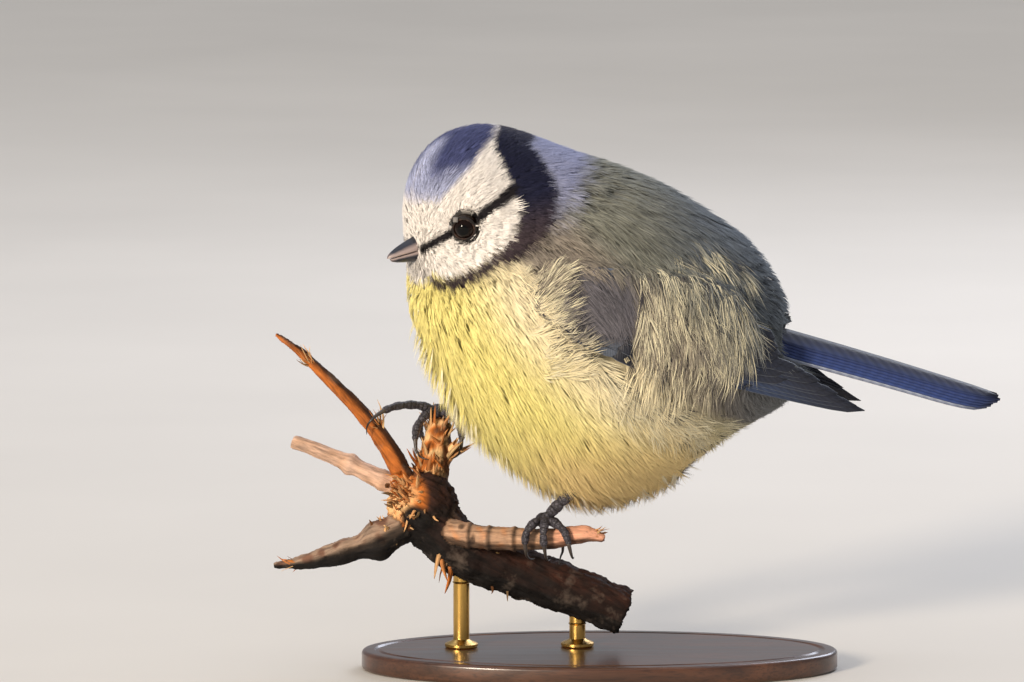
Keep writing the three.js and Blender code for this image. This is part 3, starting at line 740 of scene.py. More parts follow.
def stand_finish(colours):
    """Dark stained wood under a satin varnish, with grain along the base."""
    made = Finish("stand_wood", Roughness=0.32, Coat_Weight=0.5, Coat_Roughness=0.16)
    rings = made.noise(38, detail=6, roughness=0.6, place=made.stretched((0.6, 6, 9)), distortion=0.6)
    pores = made.noise(600, detail=3, place=made.stretched((0.25, 5, 5)))
    wood = linear(colours.stand)
    grain = made.ramp(rings, (0.28, wood * 0.45), (0.5, wood), (0.72, wood * 1.9))
    colour = made.mix(made.ramp(pores, (0.35, 0.5), (0.5, 0.0)), grain, wood * 0.25)
    rough = made.ramp(rings, (0.3, 0.26), (0.7, 0.42))
    return made.finish(colour, rough, height=pores, depth=0.05, strength=0.35)


def brass_finish(colours):
    """Brushed brass with faint tarnish."""
    made = Finish("stand_brass", Metallic=1.0, Roughness=0.3)
    brushed = made.noise(2400, detail=3, place=made.stretched((1, 1, 0.04)))
    tarnish = made.noise(180, detail=5)
    brass = linear(colours.brass)
    colour = made.mix(made.ramp(tarnish, (0.45, 0.0), (0.75, 0.5)), brass, brass * (0.5, 0.42, 0.35))
    rough = made.ramp(made.weighted(brushed, 0.6, tarnish, 0.4), (0.3, 0.2), (0.7, 0.46))
    return made.finish(colour, rough, height=brushed, depth=0.02, strength=0.3)


def coverage(outline, a, b, soft):
    """How far points of a chart lie inside a closed outline, from 0 to 1 across a soft edge."""
    corners = np.array(outline, float)
    nearest = np.full(a.shape, 1e9)
    inside = np.zeros(a.shape, bool)
    for (x0, y0), (x1, y1) in zip(corners, np.roll(corners, -1, 0)):
        dx, dy = x1 - x0, y1 - y0
        share = np.clip(((a - x0) * dx + (b - y0) * dy) / (dx * dx + dy * dy + 1e-12), 0, 1)
        nearest = np.minimum(nearest, np.hypot(a - x0 - share * dx, b - y0 - share * dy))
        if dy:
            inside ^= ((y0 > b) != (y1 > b)) & (a < (b - y0) / dy * dx + x0)
    signed = np.where(inside, nearest, -nearest)
    return ease(-soft, soft, signed)


def line_distance(line, a, b):
    """How far points of a chart are from an open line."""
    corners = np.array(line, float)
    nearest = np.full(a.shape, 1e9)
    for (x0, y0), (x1, y1) in zip(corners, corners[1:]):
        dx, dy = x1 - x0, y1 - y0
        share = np.clip(((a - x0) * dx + (b - y0) * dy) / (dx * dx + dy * dy), 0, 1)
        nearest = np.minimum(nearest, np.hypot(a - x0 - share * dx, b - y0 - share * dy))
    return nearest


def head_chart(places):
    """Degrees round from the bill and up, and how far from the head's middle."""
    offset = places - HEAD_AT
    aim = unit(np.stack((offset @ FORWARD, offset @ LEFTWARD, offset @ UPWARD), -1))
    turn = np.degrees(np.arctan2(np.abs(aim[..., 1]), aim[..., 0]))
    return turn, np.degrees(np.arcsin(aim[..., 2])), np.linalg.norm(offset, axis=-1)


def above_parting(places):
    """Millimetres above the line from the throat to the vent that parts the yellow from the flank."""
    x, z = places[..., 0], places[..., 2]
    return (z - PARTING_Z) + PARTING_SLOPE * x - PARTING_RISE - PARTING_REAR_SLOPE * np.maximum(0, x)


def plumage_colour(places, colours):
    """The bird's markings, with some painted shade on the cap's sides, rear and top: the colour, in linear
    light, of the feather ends at these places.
    """
    tone = {name: linear(getattr(colours, name)) for name in PlumageColours.__annotations__}
    x, y, z = places[..., 0], places[..., 1], places[..., 2]
    above = above_parting(places)
    under = blend(tone["breast"], tone["flank"], ease(-18, 1, above) * ease(-30, -14, x))
    under = blend(under, tone["belly"], ease(50, 37, z) * ease(-22, -4, x))
    under = blend(under, tone["vent"], ease(12, 27, x) * 0.9)
    streak = ease(2.6, 0.8, np.abs(y)) * ease(50, 42, z) * ease(20, 14, np.abs(x - 6))
    under = blend(under, tone["belly_streak"], streak * 0.8)
    back = blend(tone["mantle"], tone["rump"], ease(6, 24, x + 0.25 * (z - 70)))
    side = blend(tone["scapular"], tone["mantle"], ease(17, 27, above))
    side = blend(side, tone["rump"], ease(14, 28, x + 0.2 * (z - 60)) * 0.75)
    upper = blend(side, back, ease(21, 31, above))
    colour = blend(under, upper, ease(3.5, 9, above))
    soft_covert = coverage(WING_WINDOW, x, z, 1.4) * ease(9, 12, np.abs(y)) * ease(61, 64, z)
    colour = blend(colour, tone["covert"], soft_covert * 0.9)
    turn, up, far = head_chart(places)
    near = ease(27, 24, far)
    neck_side = ease(66, 76, turn) * ease(24, 21, far) * ease(-40, -32, up)
    colour = blend(colour, tone["mantle"] * (1.1, 1.05, 0.8), neck_side * ease(0, 7, above) * 0.8)
    colour = blend(colour, tone["pale_nape"], coverage(PALE_NAPE, turn, up, 5) * ease(25.5, 21.5, far))
    brow = ease(96, 92, turn - 0.22 * np.maximum(0, up - 14)) * ease(-20, -17, up - 0.28 * (turn - 10))
    white = np.maximum(brow * ease(-26, -22, up), coverage(CHEEK, turn, up, 1.0))
    white = np.maximum(white, np.maximum(ease(46, 50, up), coverage(CHIN, turn, up, 1.5)))
    colour = blend(colour, tone["face"], white * near)
    band = blend(tone["band_low"], tone["band"], ease(-14, 8, up))
    colour = blend(colour, band, coverage(NAPE_BAND, turn, up, 1.1) * near)
    cap = coverage(CAP, turn, up, 3.2) * np.maximum(ease(9, 26, up), ease(28, 38, turn))
    # The darker blue towards the cap's sides, rear and top is partly real colour and partly painted shade.
    dark = ease(22, 44, up - 0.1 * turn) * ease(4, 34, turn)
    blue = blend(tone["cap"], tone["cap_dark"], np.maximum(dark, ease(60, 80, up)))
    colour = blend(colour, blue, cap * near)
    stripe = ease(1.0, -1.0, line_distance(EYE_STRIPE, turn, up) - (2.7 + 0.014 * turn))
    stripe = np.maximum(stripe, ease(2.4, 2.2, from_eye(places)))
    colour = blend(colour, tone["stripe"], stripe * near)
    return blend(colour, tone["stripe"], coverage(BIB, turn, up, 2.5) * 0.25)


def streakiness(places):
    """How much the barbs differ in lightness: little on the face and breast, much on the flank and back."""
    turn, up, _ = head_chart(places)
    body = 0.045 + 0.15 * ease(-4, 6, above_parting(places))
    face = 0.035 + 0.3 * coverage(CAP, turn, up, 6) * ease(14, 34, up)
    face = face + 0.16 * coverage(NAPE_BAND, turn, up, 2)
    face = face + 0.55 * coverage(BIB, turn, up, 1.5)
    return blend(body[..., None], face[..., None], on_head(places))[..., 0]


def on_head(places):
    """Where the head's short feathers grow, down to the lower edge of the chin and cheek."""
    _, up, far = head_chart(places)
    return ease(-38.5, -36, up) * ease(23, 20.5, far)


def feather_lie(places, normals):
    """The way feathers lie: back from the bill over the head, then back and down along the body."""
    _, _, far = head_chart(places)
    from_bill = unit(places - from_head(13.5, 0, -5.5))
    for side in SIDES.values():
        away = places - eye_place(side)
        close = np.linalg.norm(away, axis=-1)
        from_bill = from_bill + unit(away) * (2.4 * ease(4.6, 2.4, close))[..., None]
    above = above_parting(places)
    x = places[..., 0]
    flow = np.stack((np.full(x.shape, 0.74), np.zeros_like(x), np.full(x.shape, -0.67)), -1)
    hanging = np.stack((np.full(x.shape, 0.3), np.zeros_like(x), np.full(x.shape, -0.95)), -1)
    steep = ease(2, 10, above) * ease(34, 22, above) * ease(-6, 4, x) * ease(30, 20, x)
    flow = blend(flow, hanging, steep)
    belly = ease(-2, -10, above) * ease(-26, -16, x)
    flow = blend(flow, np.array((0.62, 0.0, -0.78)), belly)
    mixed = blend(unit(from_bill), unit(flow), ease(13.5, 24, far))
    return flat(mixed, normals)


def from_eye(places):
    """How far places are from the axis of the nearer eye."""
    ranges = []
    for side in SIDES.values():
        offset = places - eye_place(side)
        along = offset @ eye_aim(side)
        aside = np.linalg.norm(offset - along[..., None] * eye_aim(side), axis=-1)
        ranges.append(np.where(along > -1, aside, 99))
    return np.minimum(*ranges)


def eye_aim(side):
    """The way an eye looks."""
    return unit(EYE_AIM[0] * FORWARD - side * EYE_AIM[1] * LEFTWARD + EYE_AIM[2] * UPWARD)


eye_places = {}


def eye_place(side):
    """The middle of an eye, under the plumage's surface."""
    if side not in eye_places:
        lo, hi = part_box("eye_left" if side < 0 else "eye_right")
        eye_places[side] = np.array((lo + hi) / 2) / MM
    return eye_places[side]


class Surface:
    """A closed surface in millimetres that feathers grow from, with its unwrap."""

    def __init__(self, obj):
        mesh = obj.data
        self.places = vertex_array(mesh) / MM
        self.normals = vertex_array(mesh, "normal")
        self.corners = triangle_corners(mesh)
        loops = np.empty(self.corners.size, np.int32)
        mesh.loop_triangles.foreach_get("loops", loops)
        chart = np.empty(len(mesh.loops) * 2, np.float32)
        mesh.uv_layers["OFBake"].uv.foreach_get("vector", chart)
        self.chart = chart.reshape(-1, 2)[loops].reshape(-1, 3, 2)
        a, b, c = (self.places[self.corners[:, k]] for k in range(3))
        self.area = np.linalg.norm(np.cross(b - a, c - a), axis=1) / 2

    def scatter(self, count, density, random):
        """Random places, normals and chart places, more where density says so."""
        weight = self.area * density(self.places[self.corners].mean(1))
        chosen = random.choice(len(weight), count, p=weight / weight.sum())
        u, v = random.random((2, count))
        folded = u + v > 1
        u, v = np.where(folded, 1 - u, u), np.where(folded, 1 - v, v)
        shares = np.stack((1 - u - v, u, v), -1)[..., None]
        corners = self.corners[chosen]
        places = (self.places[corners] * shares).sum(1)
        normals = unit((self.normals[corners] * shares).sum(1))
        return places, normals, (self.chart[chosen] * shares).sum(1)


class Drape:
    """What the feathers lie on: the flesh, and the wings where they cover it."""

    REACH = 14.0

    def __init__(self, flesh, wings=()):
        places, faces = [], []
        self.flesh_faces = 0
        for obj in (*flesh, *wings):
            faces.append(triangle_corners(obj.data) + sum(len(part) for part in places))
            places.append(vertex_array(obj.data) / MM)
            if obj in flesh:
                self.flesh_faces += len(faces[-1])
        self.tree = BVHTree.FromPolygons(np.concatenate(places).tolist(), np.concatenate(faces).tolist())

    def height(self, places, normals):
        """How far the outer surface lies above each place, its normal there, and whether it is a wing."""
        heights = np.full(len(places), DRAPE_MISS)
        found = normals.copy()
        on_wing = np.zeros(len(places), bool)
        for i, (place, normal) in enumerate(zip(places, normals)):
            start = Vector(place + normal * self.REACH)
            hit, facing, index, distance = self.tree.ray_cast(start, Vector(-normal), self.REACH * 1.6)
            if hit is None:
                continue
            height = max(self.REACH - distance, DRAPE_DEEPEST)
            on_wing[i] = index >= self.flesh_faces
            if on_wing[i] or height < DRAPE_HIGHEST:
                heights[i] = height
                found[i] = facing
            else:
                heights[i] = 0.0
        return heights, found, on_wing


made = {}


def plumage_surface():
    """The plumage's outer surface, which the skin and feathers are made from."""
    if "surface" not in made:
        sizes = bpy.context.scene.coat_sizes
        shell = remeshed_copy("plumage_shell", FLESH, sizes.skin_cell, rounds=6)
        only(shell)
        bpy.ops.object.mode_set(mode="EDIT")
        bpy.ops.mesh.select_all(action="SELECT")
        bpy.ops.uv.smart_project(angle_limit=math.radians(66), island_margin=0.004)
        bpy.ops.object.mode_set(mode="OBJECT")
        shell.data.uv_layers[0].name = "OFBake"
        made["shell"] = shell
        made["surface"] = Surface(shell)
        made["body"] = Drape([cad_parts[node] for node in FLESH])
        made["feather"] = plumage_finish("feather", sheen=0.06, contrast=0.08)
    return made["surface"]


def coat_depth(places):
    """How far the skin lies under the feathers' ends."""
    sizes = bpy.context.scene.coat_sizes
    _, _, far = head_chart(places)
    return sizes.face_depth + (sizes.body_depth - sizes.face_depth) * ease(17, 26, far)


def barb_mesh(name, line, across, out, width, colours, chart, barbs, soft):
    """Closed tapered barbs along lines of places: arrays of barb, station and x, y, z.

    Each barb is a strip of its tuft's patch on the bake map. Colours are for each barb and station.
    """
    count, stations = line.shape[:2]
    taper = np.interp(np.linspace(0, 1, stations), (0, 0.3, 0.75, 1), (0.75, 1, 0.62, 0.0))
    half = (width[:, None] * taper / 2)[..., None]
    rings = np.stack((line - across * half, line + across * half, line + out * half * 0.9), 2)
    body = rings[:, :-1].reshape(count, -1, 3)
    places = np.concatenate((body, line[:, -1:]), 1)
    turned = np.stack((out * soft - across * (1 - soft), out * soft + across * (1 - soft), out), 2)
    normals = np.concatenate((unit(turned)[:, :-1].reshape(count, -1, 3), out[:, -1:]), 1)
    per_barb = places.shape[1]
    faces = [(2, 1, 0)]
    for k in range(stations - 2):
        for i, j in ((0, 1), (1, 2), (2, 0)):
            low, high = 3 * k, 3 * k + 3
            faces += [(low + i, low + j, high + i), (low + j, high + j, high + i)]
    last = 3 * (stations - 2)
    faces += [(last + i, last + j, per_barb - 1) for i, j in ((0, 1), (1, 2), (2, 0))]
    triangles = (np.arange(count)[:, None, None] * per_barb + np.array(faces)).reshape(-1, 3)
    tint = np.concatenate((np.repeat(colours[:, :-1], 3, 1), colours[:, -1:]), 1)
    strip = (np.arange(count) % barbs)[:, None]
    ring_place = np.tile((0.1, 0.9, 0.5), stations - 1)
    u = (strip + np.append(ring_place, 0.5)) / barbs
    v = np.append(np.repeat(np.linspace(0, 1, stations)[:-1], 3), 1.0)
    patch = np.stack(np.broadcast_arrays(u, v[None]), -1) - 0.5
    layout = np.repeat(chart, barbs, 0)[:, None] + patch * PATCH_ON_MAP
    return mesh_piece(name, places.reshape(-1, 3), triangles, tint.reshape(-1, 3), layout.reshape(-1, 2),
                      normals=normals.reshape(-1, 3))


def grow(name, places, normals, chart, random, drape, length, width, barbs, stations, lie=None, bend=None,
         spread=0.5, rise=0.1, loose=0.0, hang=0.0, tips=None, dark_root=0.4, soft=0.75, jitter=0.4):
    """Tufts of barbs that follow the lie of the feathers over what they lie on.

    Spread is how far a tuft fans out, rise how far its end stands over the surface, loose how much the
    ends differ in height, and hang how far they leave the surface to hang down. Tips are each tuft's
    colour towards its end, and how strong it is.
    """
    colours = bpy.context.scene.plumage_colours
    count = len(places)
    length = np.broadcast_to(length, count)
    lie = feather_lie(places, normals) if lie is None else lie
    height, _, on_wing = drape.height(places, normals)
    full_depth = coat_depth(places) * random.uniform(0.4, 1.0, count)
    layer = random.random(count)
    uneven_depth = 0.08 + 1.2 * streakiness(places)
    line = np.empty((count, stations, 3))
    side = np.empty_like(line)
    out = np.empty_like(line)
    at, normal = places + normals * height[:, None], normals
    for k in range(stations):
        share = k / (stations - 1)
        if k:
            way = lie if bend is None else blend(lie, bend, ease(0.1, 0.9, np.full(count, share)))
            heading = flat(way, normal)
            at = at + heading * (length / (stations - 1))[:, None]
            lifted, facing, on_wing = drape.height(at, normal)
            at = at + normal * np.clip(lifted, -3, 3)[:, None]
            normal = unit(normal * 0.75 + facing * 0.25)
        else:
            heading = flat(lie, normal)
        depth = np.where(on_wing, 0.1, full_depth)
        sunk = -depth * (1 - share) ** 1.6 - depth * uneven_depth * layer * ease(0, 0.4, share)
        over = sunk + rise * share**2 + np.where(on_wing, OVER_WING + OVER_WING_LAYERS * layer, 0)
        drop = np.broadcast_to(hang, count) * share * share
        line[:, k] = at + normal * over[:, None] + DOWN * drop[:, None]
        out[:, k] = normal
        side[:, k] = unit(np.cross(normal, heading))
    grown = 0.72 + 0.36 * random.random((count, barbs))
    along = grown[..., None] * np.linspace(0, stations - 1, stations)
    low = np.minimum(along.astype(int), stations - 2)
    part = (along - low)[..., None]

    def follow(values):
        rows = np.arange(count)[:, None, None]
        return values[rows, low] * (1 - part) + values[rows, low + 1] * part

    def for_each(value):
        return np.broadcast_to(value, count)[:, None, None, None]

    centre, sideways, outwards = follow(line), follow(side), follow(out)
    station = np.linspace(0, 1, stations)
    each = (count, barbs, 1, 1)
    fan = random.normal(0, 1, each) * for_each(spread)
    start = random.normal(0, jitter, each)
    curl = random.normal(0, 0.05, each) * for_each(length)
    lift = np.abs(random.normal(0, 1, each)) * for_each(loose)
    s = station[None, None, :, None]
    centre = centre + sideways * (start + fan * s**1.2 + curl * s * s) + outwards * lift * s * s
    roll = random.uniform(-0.35, 0.35, each)
    across = unit(sideways * np.cos(roll) + outwards * np.sin(roll))
    up = unit(outwards * np.cos(roll) - sideways * np.sin(roll))
    shape = (count * barbs, stations, 3)
    seen = centre[:, :, int(round(0.7 * (stations - 1)))].reshape(-1, 3)
    base = plumage_colour(seen + random.normal(0, 0.16, seen.shape), colours)
    uneven = np.clip(1 + streakiness(seen) * random.normal(0, 1, len(seen)), 0.35, 1.6)
    base = base * uneven[:, None]
    down = linear(colours.down)
    root_share = np.interp(station, (0, 0.35, 0.7, 1), (1, 0.35, 0, 0)) * dark_root
    strength = (0.25 + 0.75 * ease(-4, 4, above_parting(seen)))[:, None] * root_share
    tint = np.repeat(base[:, None], stations, 1)
    if tips is not None:
        share = np.repeat(tips[1], barbs)[:, None] * ease(0.05, 0.6, station)
        tint = blend(tint, np.repeat(tips[0], barbs, 0)[:, None], share)
    tint = blend(tint, down, strength)
    tint = tint * (0.94 + 0.12 * station)[None, :, None]
    wide = np.repeat(np.broadcast_to(width, count), barbs) * random.uniform(0.75, 1.25, count * barbs)
    obj = barb_mesh(name, centre.reshape(shape), across.reshape(shape), up.reshape(shape), wide, tint, chart,
                    barbs, soft)
    return settle(obj, made["feather"], "body_feathers" if "head" not in name else "head_feathers")


def in_window(places):
    """Where the folded wing shows bare, in the lower half of the window."""
    return coverage(WING_WINDOW, places[:, 0], places[:, 2], 0.8) * (places[:, 2] < BARE_WINDOW_TOP)


def clear_of_bare_parts(places):
    """False inside the rims of the eyes and on the bill."""
    offset = places - HEAD_AT
    forward, left, up = offset @ FORWARD, offset @ LEFTWARD, offset @ UPWARD
    bill = (forward > BILL_IN_COAT["from_forward"]) & (np.abs(left) < BILL_IN_COAT["half_width"])
    clear = ~(bill & (up > BILL_IN_COAT["low"]) & (up < BILL_IN_COAT["high"]))
    for side in SIDES.values():
        clear &= np.linalg.norm(places - eye_place(side), axis=-1) > EYE_R + EYE_CLEAR
    return clear


def side_split(places, normals, chart):
    """The tufts of each side, by name."""
    for name, side in SIDES.items():
        chosen = places[:, 1] * side > 0
        yield name, places[chosen], normals[chosen], chart[chosen]


class Piece:
    """What the operators share."""

    bl_options = {"REGISTER", "UNDO"}

    def execute(self, context):
        self.build(context.scene)
        return {"FINISHED"}


class BLUETIT_OT_skin(Piece, bpy.types.Operator):
    """Makes one skin in place of the solids of the head, neck, torso and rump"""

    bl_idname = "blue_tit.skin"
    bl_label = "Skin"

    def build(self, scene):
        plumage_surface()
        skin = only(made["shell"])
        skin.name = "skin"
        places = vertex_array(skin.data) / MM
        group = skin.vertex_groups.new(name="depth")
        depths = coat_depth(places)
        deepest = float(depths.max())
        for index, depth in enumerate(depths):
            group.add([index], float(depth) / deepest, "REPLACE")
        apply_modifier(skin, "DISPLACE", strength=-deepest * MM, mid_level=0.0, vertex_group="depth")
        skin.vertex_groups.clear()
        paint(skin.data, "tint", plumage_colour(places, scene.plumage_colours) * 0.8)
        settle(skin, made["feather"], "body_feathers", *FLESH)


class BLUETIT_OT_head_feathers(Piece, bpy.types.Operator):
    """Grows the short feathers of the head"""

    bl_idname = "blue_tit.head_feathers"
    bl_label = "Head feathers"

    def build(self, scene):
        sizes = scene.coat_sizes
        surface = plumage_surface()
        random = np.random.default_rng(11)

        def density(places):
            return on_head(places) * clear_of_bare_parts(places)

        found = surface.scatter(sizes.head_tufts, density, random)
        for name, places, normals, chart in side_split(*found):
            turn, up, far = head_chart(places)
            length = sizes.face_length * (0.26 + 0.74 * ease(2.2, 5.0, from_eye(places)))
            length = length * (1 + 0.45 * ease(16, 21, far))
            length = length * (1 + 0.45 * coverage(CAP, turn, up, 8)) * (1 - 0.4 * ease(30, 12, turn))
            grow("feathers_head_" + name, places, normals, chart, random, made["body"], length,
                 sizes.face_width, barbs=8, stations=2, spread=0.22, rise=0.08, loose=0.04, dark_root=0.03,
                 soft=0.92, jitter=0.22)


class BLUETIT_OT_body_feathers(Piece, bpy.types.Operator):
    """Grows the feathers of the body, back, flanks and belly"""

    bl_idname = "blue_tit.body_feathers"
    bl_label = "Body feathers"

    PARTS = ("belly", "breast", "flank", "back")

    def build(self, scene):
        sizes = scene.coat_sizes
        surface = plumage_surface()
        random = np.random.default_rng(12)

        def density(places):
            return 1 - 0.97 * on_head(places)

        places, normals, chart = surface.scatter(sizes.body_tufts, density, random)
        height, _, _ = made["outer"].height(places, normals)
        x, y, z = places.T
        ahead = places + feather_lie(places, normals) * sizes.body_length * 0.4
        shown = (in_window(places) < 0.4) & (in_window(ahead) < 0.5) | (np.abs(y) < WINDOW_MIN_Y)
        past_coat = (height > 0.6) & (x > COAT_REACH_X) | (x > COAT_END_X)
        over_tail = np.abs((places - TAIL_ROOT) @ np.cross(tail_axis(), (0, 1, 0)))
        in_hole = (over_tail < TAIL_HOLE["half_height"]) & (np.abs(y) < TAIL_HOLE["half_width"])
        past_coat |= in_hole & (x > TAIL_HOLE["from_x"])
        under = (height > UNDER_WING["height"]) & (x > UNDER_WING["from_x"]) & (z < UNDER_WING["below_z"])
        kept = shown & ~past_coat & ~under
        under &= x <= COAT_END_X
        for name, *tufts in side_split(places[kept], normals[kept], chart[kept]):
            ranks = above_parting(tufts[0]).argsort()
            for part, chosen in zip(self.PARTS, np.array_split(ranks, len(self.PARTS))):
                self.part(part + "_" + name, *(values[chosen] for values in tufts), random, sizes)
        for name, *tufts in side_split(places[under], normals[under], chart[under]):
            self.part("under_wing_" + name, *tufts, random, sizes)

    def part(self, name, places, normals, chart, random, sizes):
        """The feathers of one part of one side, longer away from the head and looser under the belly."""
        _, _, far = head_chart(places)
        above = above_parting(places)
        length = sizes.body_length * (0.5 + 0.5 * ease(19, 30, far))
        length = length * (0.9 + 0.2 * ease(-4, 10, above))
        length = length * (1 - 0.7 * ease(19, 29, places[:, 0]) * ease(55, 59, places[:, 2]))
        outline = ease(-8, -16, above) * ease(60, 44, places[:, 2])
        smooth = name.startswith(("belly", "breast"))
        bed = made["body"] if name.startswith("under") else made["outer"]
        grow("feathers_" + name, places, normals, chart, random, bed, length, sizes.body_width, barbs=8,
             stations=3, spread=0.6, rise=0.15, loose=0.1 + 0.35 * outline, hang=1.1 * outline,
             soft=0.95 if smooth else 0.8)


class BLUETIT_OT_loose_feathers(Piece, bpy.types.Operator):
    """Grows the long loose barbs that hang over the folded wings and flare from the breast"""

    bl_idname = "blue_tit.loose_feathers"
    bl_label = "Loose feathers"

    def build(self, scene):
        sizes = scene.coat_sizes
        surface = plumage_surface()
        random = np.random.default_rng(13)
        cream, gap, white = (linear(from_hex(code)) for code in ("F0E6C4", "33323A", "FFFBE6"))

        def scapulars(places):
            x, z = places[:, 0], places[:, 2]
            over = 68.5 + 0.03 * (x - 10) ** 2
            between = ease(3.2, 6.5, x) * ease(27, 17, x)
            return between * ease(over - 13, over - 6, z) * ease(over + 14, over + 2, z)

        def breast_side(places):
            x, z = places[:, 0], places[:, 2]
            edge = x + 0.25 * (z - 66)
            return ease(-15, -12, edge) * ease(-6.2, -8.2, edge) * ease(55, 59, z) * ease(76, 73, z)

        def flank(places):
            above, x = above_parting(places), places[:, 0]
            return ease(-7, -3, above) * ease(3, 0, above) * ease(-6, 0, x) * ease(24, 18, x)

        def belly(places):
            edge = ease(-6, -10, above_parting(places)) * ease(11, 7, np.abs(places[:, 1]))
            return edge * ease(18, 12, places[:, 0]) * ease(66, 60, places[:, 2]) * 30

        sets = {
            "belly_fringe": dict(
                where=belly, share=0.6, start=(0.5, -0.87), end=(0.25, -0.97), length=4.6, spread=0.16,
                loose=0.25,
            ),
            "scapular": dict(
                where=scapulars, share=1.0, start=(0.46, -0.88), end=(0.0, -1.0), length=11.0, spread=0.6,
                loose=0.34,
            ),
            "breast_side": dict(
                where=breast_side, share=0.5, start=(0.95, -0.25), end=(0.82, 0.55), length=6.5, spread=0.8,
                loose=0.45,
            ),
            "side": dict(
                where=flank, share=0.5, start=(0.9, -0.3), end=(0.66, -0.74), length=9.0, spread=0.7,
                loose=0.25,
            ),
        }
        for label, tuft in sets.items():
            fringe = label == "belly_fringe"

            def density(places, where=tuft["where"], fringe=fringe):
                return where(places) * ((np.abs(places[:, 1]) > 9) | fringe) + 1e-9

            count = int(2 * sizes.loose_tufts * tuft["share"])
            places, normals, chart = surface.scatter(count, density, random)
            swing = random.normal(0, 0.22, count)
            level_y = np.zeros(count)
            (start_x, start_z), (end_x, end_z) = tuft["start"], tuft["end"]
            lie = np.stack((start_x + swing * 0.6, level_y, start_z + swing * 0.3), -1)
            bend = np.stack((end_x + swing, level_y, end_z + swing), -1)
            lengths = tuft["length"] * random.uniform(0.7, 1.25, count)
            dark = random.random(count) < 0.2
            tips = (np.where(dark[:, None], gap, cream), random.choice((0.08, 0.45, 0.95), count))
            if fringe:
                tips = (np.tile(white, (count, 1)), random.choice((0.0, 0.7), count, p=(0.6, 0.4)))
                looks = dict(rise=1.7, hang=0.9, dark_root=0.1, jitter=0.08)
            else:
                looks = dict(rise=0.7, hang=0.0, dark_root=0.7, jitter=0.4)
            grow("feathers_" + label, places, normals, chart, random, made["outer"], lengths,
                 sizes.loose_width, barbs=7, stations=5, lie=lie, bend=bend, spread=tuft["spread"],
                 loose=tuft["loose"], tips=tips, soft=0.5, **looks)


def closed_sheet(top, under):
    """Places and triangles of a closed sheet between two grids of the same size."""
    rows, columns = top.shape[:2]
    grid = np.arange(rows * columns).reshape(rows, columns)
    deep = rows * columns
    corners = (grid[:-1, :-1], grid[:-1, 1:], grid[1:, 1:], grid[1:, :-1])
    upper = split(*(corner.ravel() for corner in corners))
    rim = np.concatenate((grid[0, :], grid[1:, -1], grid[-1, -2::-1], grid[-2:0:-1, 0]))
    following = np.roll(rim, -1)
    walls = np.concatenate((np.stack((rim, rim + deep, following), -1),
                            np.stack((following, rim + deep, following + deep), -1)))
    places = np.concatenate((top.reshape(-1, 3), under.reshape(-1, 3)))
    return places, np.concatenate((upper, upper[:, ::-1] + deep, walls))


def outward(places, triangles):
    """Turns a closed shell the right way out."""
    a, b, c = (places[triangles[:, k]] for k in range(3))
    volume = np.sum(a * np.cross(b, c))
    return triangles if volume > 0 else triangles[:, ::-1]


class Vanes:
    """Feathers gathered into one piece."""

    def __init__(self, total):
        self.total = total
        self.parts = []

    def add(self, face, rows, columns, colour):
        """One feather from a function of along, from 0 to 1, and across, from -1 to 1."""
        along = np.linspace(0, 1, rows)[:, None] * np.ones(columns)
        across = np.ones((rows, 1)) * np.linspace(-1, 1, columns)
        top, under = face(along, across)
        places, triangles = closed_sheet(top, under)
        number = len(self.parts)
        grain = np.stack((across, along, np.full_like(along, number)), -1).reshape(-1, 3)
        tint = colour(along, across).reshape(-1, 3)
        u = (number + 0.5 + across * 0.44) / self.total
        charts = [np.stack((u, along * 0.47 + start), -1).reshape(-1, 2) for start in (0.02, 0.51)]
        self.parts.append((places, outward(places, triangles), np.tile(tint, (2, 1)), np.tile(grain, (2, 1)),
                           np.concatenate(charts)))

    def piece(self, name):
        """The feathers as one object."""
        starts = np.cumsum([0] + [len(part[0]) for part in self.parts])
        triangles = np.concatenate([part[1] + start for part, start in zip(self.parts, starts)])
        rest = [np.concatenate([part[k] for part in self.parts]) for k in (0, 2, 3, 4)]
        places, tint, grain, layout = rest
        return mesh_piece(name, places, triangles, tint, layout, grain)


def feather_width(along, tip_round):
    """Half width of a feather as a share of its greatest: narrow at the root and rounded at the tip."""
    root = 0.62 + 0.38 * np.minimum(1, along / 0.25)
    past = np.clip((along - (1 - tip_round)) / tip_round, 0, 1)
    return root * np.sqrt(np.maximum(0.0, 1 - past**2.2)) + 0.02


def wing_bed(x, z, side):
    """How far out the wing lies: over the body's feathers, then straight to the tip."""
    start = np.stack((x, np.full_like(x, side * PAST_WING_Y), z), -1).reshape(-1, 3)
    flank = np.zeros(len(start))
    for i, place in enumerate(start):
        hit = made["body"].tree.ray_cast(Vector(place), Vector((0, -side, 0)), PAST_WING_Y)[0]
        if hit is not None:
            flank[i] = abs(hit.y)
    flank = flank.reshape(x.shape) + WING_CLEARANCE
    trail = WING_TRAIL
    lean = trail["lean"] * np.maximum(0, z - trail["above_z"])
    slope = (trail["to_y"] - trail["from_y"]) / (trail["to_x"] - trail["from_x"])
    straight = trail["from_y"] + slope * (x - trail["from_x"]) - lean
    return np.where(x > trail["from_x"], np.maximum(flank, straight), flank)


